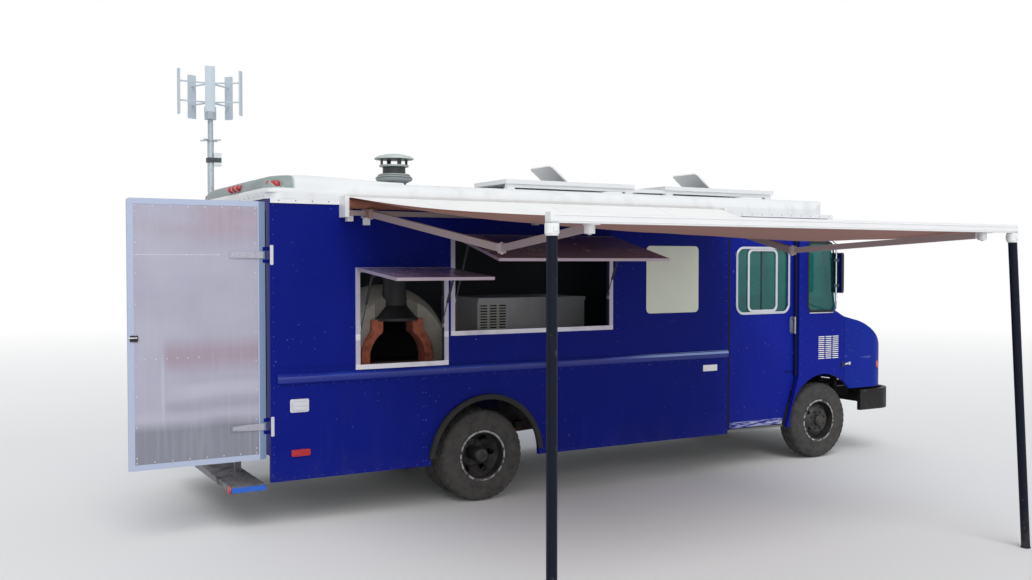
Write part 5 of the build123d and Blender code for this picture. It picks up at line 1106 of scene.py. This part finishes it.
latches = on_right(6126, 0, 974).plate(rounded(34, 46, 8, 4), 0, 12)
make(latches.mirrored(), "hood_latch_bases", black_plastic, bevel=2)
for side in ("right", "left"):
    toggle = on_right(6200, 0, 982)
    toggle.plate(rounded(70, 16, 6, 4), 0, 12)
    toggle.plate(moved(rounded(34, 12, 5, 4), -30, -6), 4, 14)
    toggle.plate(moved(rounded(26, 34, 6, 4), 28), 0, 7)
    if side == "left":
        toggle.mirrored(True)
    make(toggle, f"hood_latch_{side}", bright_metal, "hood", bevel=1.5)

nose_slope = math.atan2(85, 405)
nose_out = Vector((math.cos(nose_slope), 0, math.sin(nose_slope)))
nose_up = Vector((-math.sin(nose_slope), 0, math.cos(nose_slope)))
NOSE = Vector((6850, MIDDLE, 715))
bezels, lenses, ambers = Shape(), Shape(), Shape()
for offset in (-650, 650):
    spot = NOSE + nose_up * 250 + Vector((0, offset, 0))
    bezels.stand(spot, nose_out, nose_up)
    bezels.turned([(89, -26), (89, 2), (100, 6), (106, 4), (106, -2), (92, -2), (92, -28)], 48, True)
    lenses.stand(spot, nose_out, nose_up)
    lenses.turned([(0, -2), (40, -4), (74, -12), (90, -22), (90, -30), (0, -40)], 48)
    for rib in range(-5, 6):
        x, half = rib * 14, 0.9 * math.sqrt(80 ** 2 - (rib * 14) ** 2)
        lenses.block((x - 1.5, -half, -22), (x + 1.5, half, -6 - abs(rib) * 1.9))
make(bezels, "headlamp_bezels", chrome, "hood")
make(lenses, "headlamp_lenses", clear_lens, "hood")
for y, turn in ((48, -1), (BODY_WIDTH - 48, 1)):
    lamp(ambers, (6672, y, 958), (0.56, turn * 0.83, 0.12), 70, 132, 30)
make(ambers, "turn_lamps", amber_lens, "hood")


# Oven front: brick arch, hearth and hood edge

def arch_edge(radius, foot, neck, shoulder):
    """One edge of the brick arch: up from the foot, round the mouth, and up beside the neck."""
    bend = [math.radians(4 + 3 * i) for i in range(18)]
    round_part = [(radius * math.cos(a), ARCH_Z + radius * math.sin(a)) for a in bend]
    return [p for p in [(radius, foot)] + round_part if p[0] > neck] + [(neck, shoulder), (neck, 1574)]


bricks = on_right(y=326)
edges = arch_edge(252, 1192, 134, 1478) + arch_edge(327, 1192, 236, 1486)[::-1]
for turn in (1, -1):
    bricks.plate([(ARCH_X + turn * x, z) for x, z in edges], -150, 4)
make(bricks, "oven_arch_bricks", terracotta(), bevel=6)

hearth = Shape()
hearth.block((880, 158, 1190.2), (1500, 352, 1203))
hearth.block((940, 352, 1190.2), (1440, 520, 1200))
make(hearth, "oven_hearth", hearth_stone, bevel=3)

hood_rim = Shape().stand((FLUE_X, FLUE_Y, 1575), UPWARD, (0, 1, 0))
hood_rim.turned([(190, -14), (198, -14), (199, 10), (191, 12)], 64, True)
make(hood_rim, "oven_hood_bands", black_plastic, bevel=1)


# Counter front: vent panel and slots

vent = on_right(y=1264).plate(rectangle(2458, 1380, 2774, 1655), 0, 3)
make(vent, "counter_vent_panel", louvre_light, bevel=1)
# Painted shade: the slots are flat near-black plates standing for the shade in the vent's openings.
slots = on_right(y=1261)
for x in (2506, 2612, 2718):
    for z in range(1400, 1400 + 9 * 27, 27):
        slots.plate(rectangle(x - 38, z, x + 38, z + 13), 0, 1)
make(slots, "counter_vent_slots", slot_shade)


# Awning: cloth, post couplings, rail trim and bolts

CLOTH_LOW, CLOTH_MID = Vector((-3115.7, 2296)), Vector((-1603.4, 2297.8))
CLOTH_HIGH = Vector((-91.2, 2559.3))
CLOTH_REAR, CLOTH_FRONT = 594, 4367
DROP_STEPS = 80
ACROSS_STEPS = 96


def arc_through(a, b, c, count):
    """Places along the round arc through three of them, and the arc's length."""
    d = 2 * (a.x * (b.y - c.y) + b.x * (c.y - a.y) + c.x * (a.y - b.y))
    aa, bb, cc = a.length_squared, b.length_squared, c.length_squared
    x = (aa * (b.y - c.y) + bb * (c.y - a.y) + cc * (a.y - b.y)) / d
    y = (aa * (c.x - b.x) + bb * (a.x - c.x) + cc * (b.x - a.x)) / d
    start, end = (math.atan2(p.y - y, p.x - x) for p in (a, c))
    radius = math.hypot(a.x - x, a.y - y)
    turns = [start + (end - start) * i / count for i in range(count + 1)]
    places = [Vector((x + radius * math.cos(t), y + radius * math.sin(t))) for t in turns]
    return places, radius * abs(end - start)


arc, arc_length = arc_through(CLOTH_LOW, CLOTH_MID, CLOTH_HIGH, DROP_STEPS)
cloth = Shape()
for i in range(ACROSS_STEPS + 1):
    share = i / ACROSS_STEPS
    x = CLOTH_REAR + (CLOTH_FRONT - CLOTH_REAR) * share
    slack = 0.17 + 1.5 * math.sqrt(min(share, 0.8)) - max(0.0, share - 0.8)
    for k, p in enumerate(arc):
        t = k / DROP_STEPS
        taut = CLOTH_LOW.lerp(CLOTH_HIGH, t).y
        wave = 1.6 * math.sin(x / 210.0 + 3 * t) + math.sin(x / 83.0 - 4 * t)
        height = taut + (p.y - taut) * slack + 5 + wave * math.sin(math.pi * t)
        cloth.points.append(Vector((x, p.x, height)))
cloth.faces = grid(ACROSS_STEPS + 1, DROP_STEPS + 1)
awning = make(cloth, "awning_sheet", [cloth_top, cloth_under], crease=80)
if awning.data.polygons[0].normal.z < 0:
    awning.data.flip_normals()
skin = awning.modifiers.new("Thickness", "SOLIDIFY")
skin.thickness = 0.0012
skin.offset = 0.0
skin.material_offset = 1
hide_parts("awning_cloth")

couplings, rail_trim, arm_bolts = Shape(), Shape(), Shape()
for x in (574, 4387):
    couplings.stand((x, RAIL_Y, 2204), UPWARD, (0, 1, 0))
    couplings.turned([(39, 0), (39, 56), (31, 57), (31, -10), (34, -10), (36, 0)], 40, True)
    for y in (-36, 36):
        couplings.plate(moved(rounded(30, 14, 4, 3), 0, y), 12, 44)
make(couplings, "awning_post_couplings", white_plastic, bevel=1.5)

for x, out in ((554, TO_REAR), (4407, TO_FRONT)):
    rail_trim.stand((x, RAIL_Y, 2290), out).plate(rounded(60, 60, 12, 4), -14, 5)
rail_trim.stand((0, RAIL_Y - 28, 2290), TO_RIGHT)
for z in (10, -20):
    rail_trim.block((560, z, 0), (4400, z + 6, 3))
make(rail_trim, "awning_rail_trim", white_plastic, bevel=2)

for shoulder, elbow, wrist in ((780, 1130, 850), (4180, 3810, 4140)):
    for x, y, z in ((shoulder, -120, 2432), (elbow, -1600, 2150), (wrist, -3084, 2244)):
        for turn in (1, -1):
            arm_bolts.stand((x, y, z + turn * 34), (0, 0, turn), (0, 1, 0))
            arm_bolts.plate(circle(13, 6), 0, 5)
            arm_bolts.plate(circle(6, 12), 5, 8)
make(arm_bolts, "awning_arm_bolts", bright_metal, bevel=0.8)


# Roof: panel cells and frames

CELL = rectangle(0, 0, 154.5, 149)
CELL_CORNER = 12
cell = []
for i, (x, y) in enumerate(CELL):
    before, after = Vector(CELL[i - 1]), Vector(CELL[(i + 1) % 4])
    here = Vector((x, y))
    cell += [tuple(here + (other - here).normalized() * CELL_CORNER) for other in (before, after)]
cells, lips = Shape(), Shape()
for start in (2470, 4350):
    for i in range(9):
        for j in range(4):
            cells.plate(moved(cell, start + 34 + i * 158.2, 767 + j * 152.5), 2833, 2833.8)
    cx, cy = start + 745, 1070
    inner = rectangle(cx - 725, cy - 307, cx + 725, cy + 307)
    lips.plate(rectangle(cx - 745, cy - 325, cx + 745, cy + 325), 2833, 2836, inner)
make(cells, "solar_cell_grid", solar_cell)
make(lips, "solar_frame_lips", white_plastic, bevel=0.8)


# Driver's seat

PAD_STEPS = 30
CHANNELS = (-0.5, 0.0, 0.5)


def pad_place(u, v, top, size, crown):
    """A place on a pad's top or underside, for shares of its half width and half length."""
    edge = (1 - abs(u) ** 6) * (1 - abs(v) ** 6)
    pull = 1 - 0.03 * (1 - u * u) * (abs(v) ** 8) - 0.03 * (1 - v * v) * (abs(u) ** 8)
    groove = sum(8.0 * math.exp(-((v - c) / 0.035) ** 2) for c in CHANNELS)
    swell = crown * (1 - u * u) * (1 - v * v) - groove * edge
    height = (edge ** 0.35) * (size[2] / 2 + swell) if top else -(edge ** 0.35) * size[2] / 2
    return (u * size[0] / 2 * pull, v * size[1] / 2 * pull, height)


def cushion(name, size, centre, tilt, crown):
    """A crowned pad with sewn channels: a closed form whose sides pull in between its corners."""
    steps = [2 * i / PAD_STEPS - 1 for i in range(PAD_STEPS + 1)]
    points = [pad_place(u, v, top, size, crown) for top in (True, False) for u in steps for v in steps]
    upper = grid(PAD_STEPS + 1, PAD_STEPS + 1)
    lower = [tuple(len(points) // 2 + k for k in reversed(f)) for f in upper]
    shape = Shape()
    shape.frame = Matrix.Translation(centre) @ Matrix.Rotation(math.radians(tilt), 4, "Y")
    piece = make(shape.add(points, upper + lower), name, seat_vinyl, crease=70)
    work = bmesh.new()
    work.from_mesh(piece.data)
    bmesh.ops.remove_doubles(work, verts=work.verts, dist=0.0004)
    bmesh.ops.recalc_face_normals(work, faces=work.faces)
    work.to_mesh(piece.data)
    work.free()
    smooth = piece.modifiers.new("Smooth", "SUBSURF")
    smooth.levels = smooth.render_levels = 1


cushion("seat_cushion", (460, 460, 92), (5025, 1530, 1180), 0, 10)
cushion("seat_back", (560, 440, 92), (4808, 1530, 1510), -98, 8)
pedestal = Shape()
pedestal.block((4960, 1470, 760.5), (5080, 1590, 1120))
pedestal.block((4900, 1420, 1104), (5160, 1640, 1132))
for y in (1400, 1630):
    pedestal.block((4796, y, 1150), (4830, y + 30, 1300))
pedestal.block((4940, 1450, 760.5), (5100, 1610, 776))
pedestal = make(pedestal, "seat_pedestal", black_steel, bevel=4)
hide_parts("driver_seat")


# Camera, floor and lights

def placed(name, data, turns):
    """A camera or lamp in the scene, turned by degrees."""
    made = bpy.data.objects.new(name, data)
    made.rotation_euler = [math.radians(a) for a in turns]
    bpy.context.scene.collection.objects.link(made)
    return made


camera = placed("Camera", bpy.data.cameras.new("Camera"), (90 - 1.567, 0, 60.28 - 90))
camera.location = metres(-2257, -7725, 2058)
camera.data.sensor_width = 36
camera.data.lens = 35.944
bpy.context.scene.camera = camera

FADE_START, FADE_END = 7.0, 26.0
FLOOR_REACH = 400.0
floor_finish = Finish("pale_floor", (0.80, 0.80, 0.80), 0.9, 0.0, 0.02, 0.4, 30.0, 0.02, 0.1)
floor_material = floor_finish.done()
far = floor_finish.distance(floor_finish.place, (0, 0, 0))
seen = floor_finish.node("ShaderNodeLightPath").outputs["Is Camera Ray"]
fade = floor_finish.times(floor_finish.ramp(far, FADE_START, FADE_END), seen)
glow = floor_finish.node("ShaderNodeEmission", {"Color": (1.0, 1.0, 1.0), "Strength": 1.0}).outputs[0]
both = floor_finish.node("ShaderNodeMixShader", {0: fade, 1: floor_finish.shader.outputs[0], 2: glow})
surface = floor_material.node_tree.nodes["Material Output"].inputs["Surface"]
floor_material.node_tree.links.new(both.outputs[0], surface)
floor_mesh = bpy.data.meshes.new("floor_plane")
corners = rectangle(-FLOOR_REACH, -FLOOR_REACH, FLOOR_REACH, FLOOR_REACH)
floor_mesh.from_pydata([(x, y, 0) for x, y in corners], [], [(0, 1, 2, 3)])
floor_mesh.materials.append(floor_material)
ground = placed("studio_floor", floor_mesh, (0, 0, 0))

world = bpy.data.worlds.new("Studio")
bpy.context.scene.world = world
world.use_nodes = True
sky = world.node_tree
sky.nodes.clear()
rays = add_node(sky, "ShaderNodeLightPath").outputs
shiny = {0: rays["Is Glossy Ray"], 1: rays["Is Transmission Ray"]}
shiny = add_node(sky, "ShaderNodeMath", shiny, operation="MAXIMUM").outputs[0]
looks = {0: rays["Is Camera Ray"], 1: shiny}
looks = add_node(sky, "ShaderNodeMath", looks, operation="MAXIMUM").outputs[0]
ambient = add_node(sky, "ShaderNodeBackground", {"Color": (0.94, 0.97, 1.0), "Strength": 0.62}).outputs[0]
plain = add_node(sky, "ShaderNodeBackground", {"Color": (1.0, 1.0, 1.0)}).outputs[0]
choice = add_node(sky, "ShaderNodeMixShader", {0: looks, 1: ambient, 2: plain}).outputs[0]
add_node(sky, "ShaderNodeOutputWorld", {"Surface": choice})

for name, energy, angle, turns in (
    ("Soft_key", 1.3, 40, (38, -18, 0)), ("Soft_fill", 0.9, 60, (82, 0, -12)),
):
    sun = placed(name, bpy.data.lights.new(name, "SUN"), turns)
    sun.data.energy = energy
    sun.data.angle = math.radians(angle)

bpy.context.scene.view_settings.view_transform = "Standard"
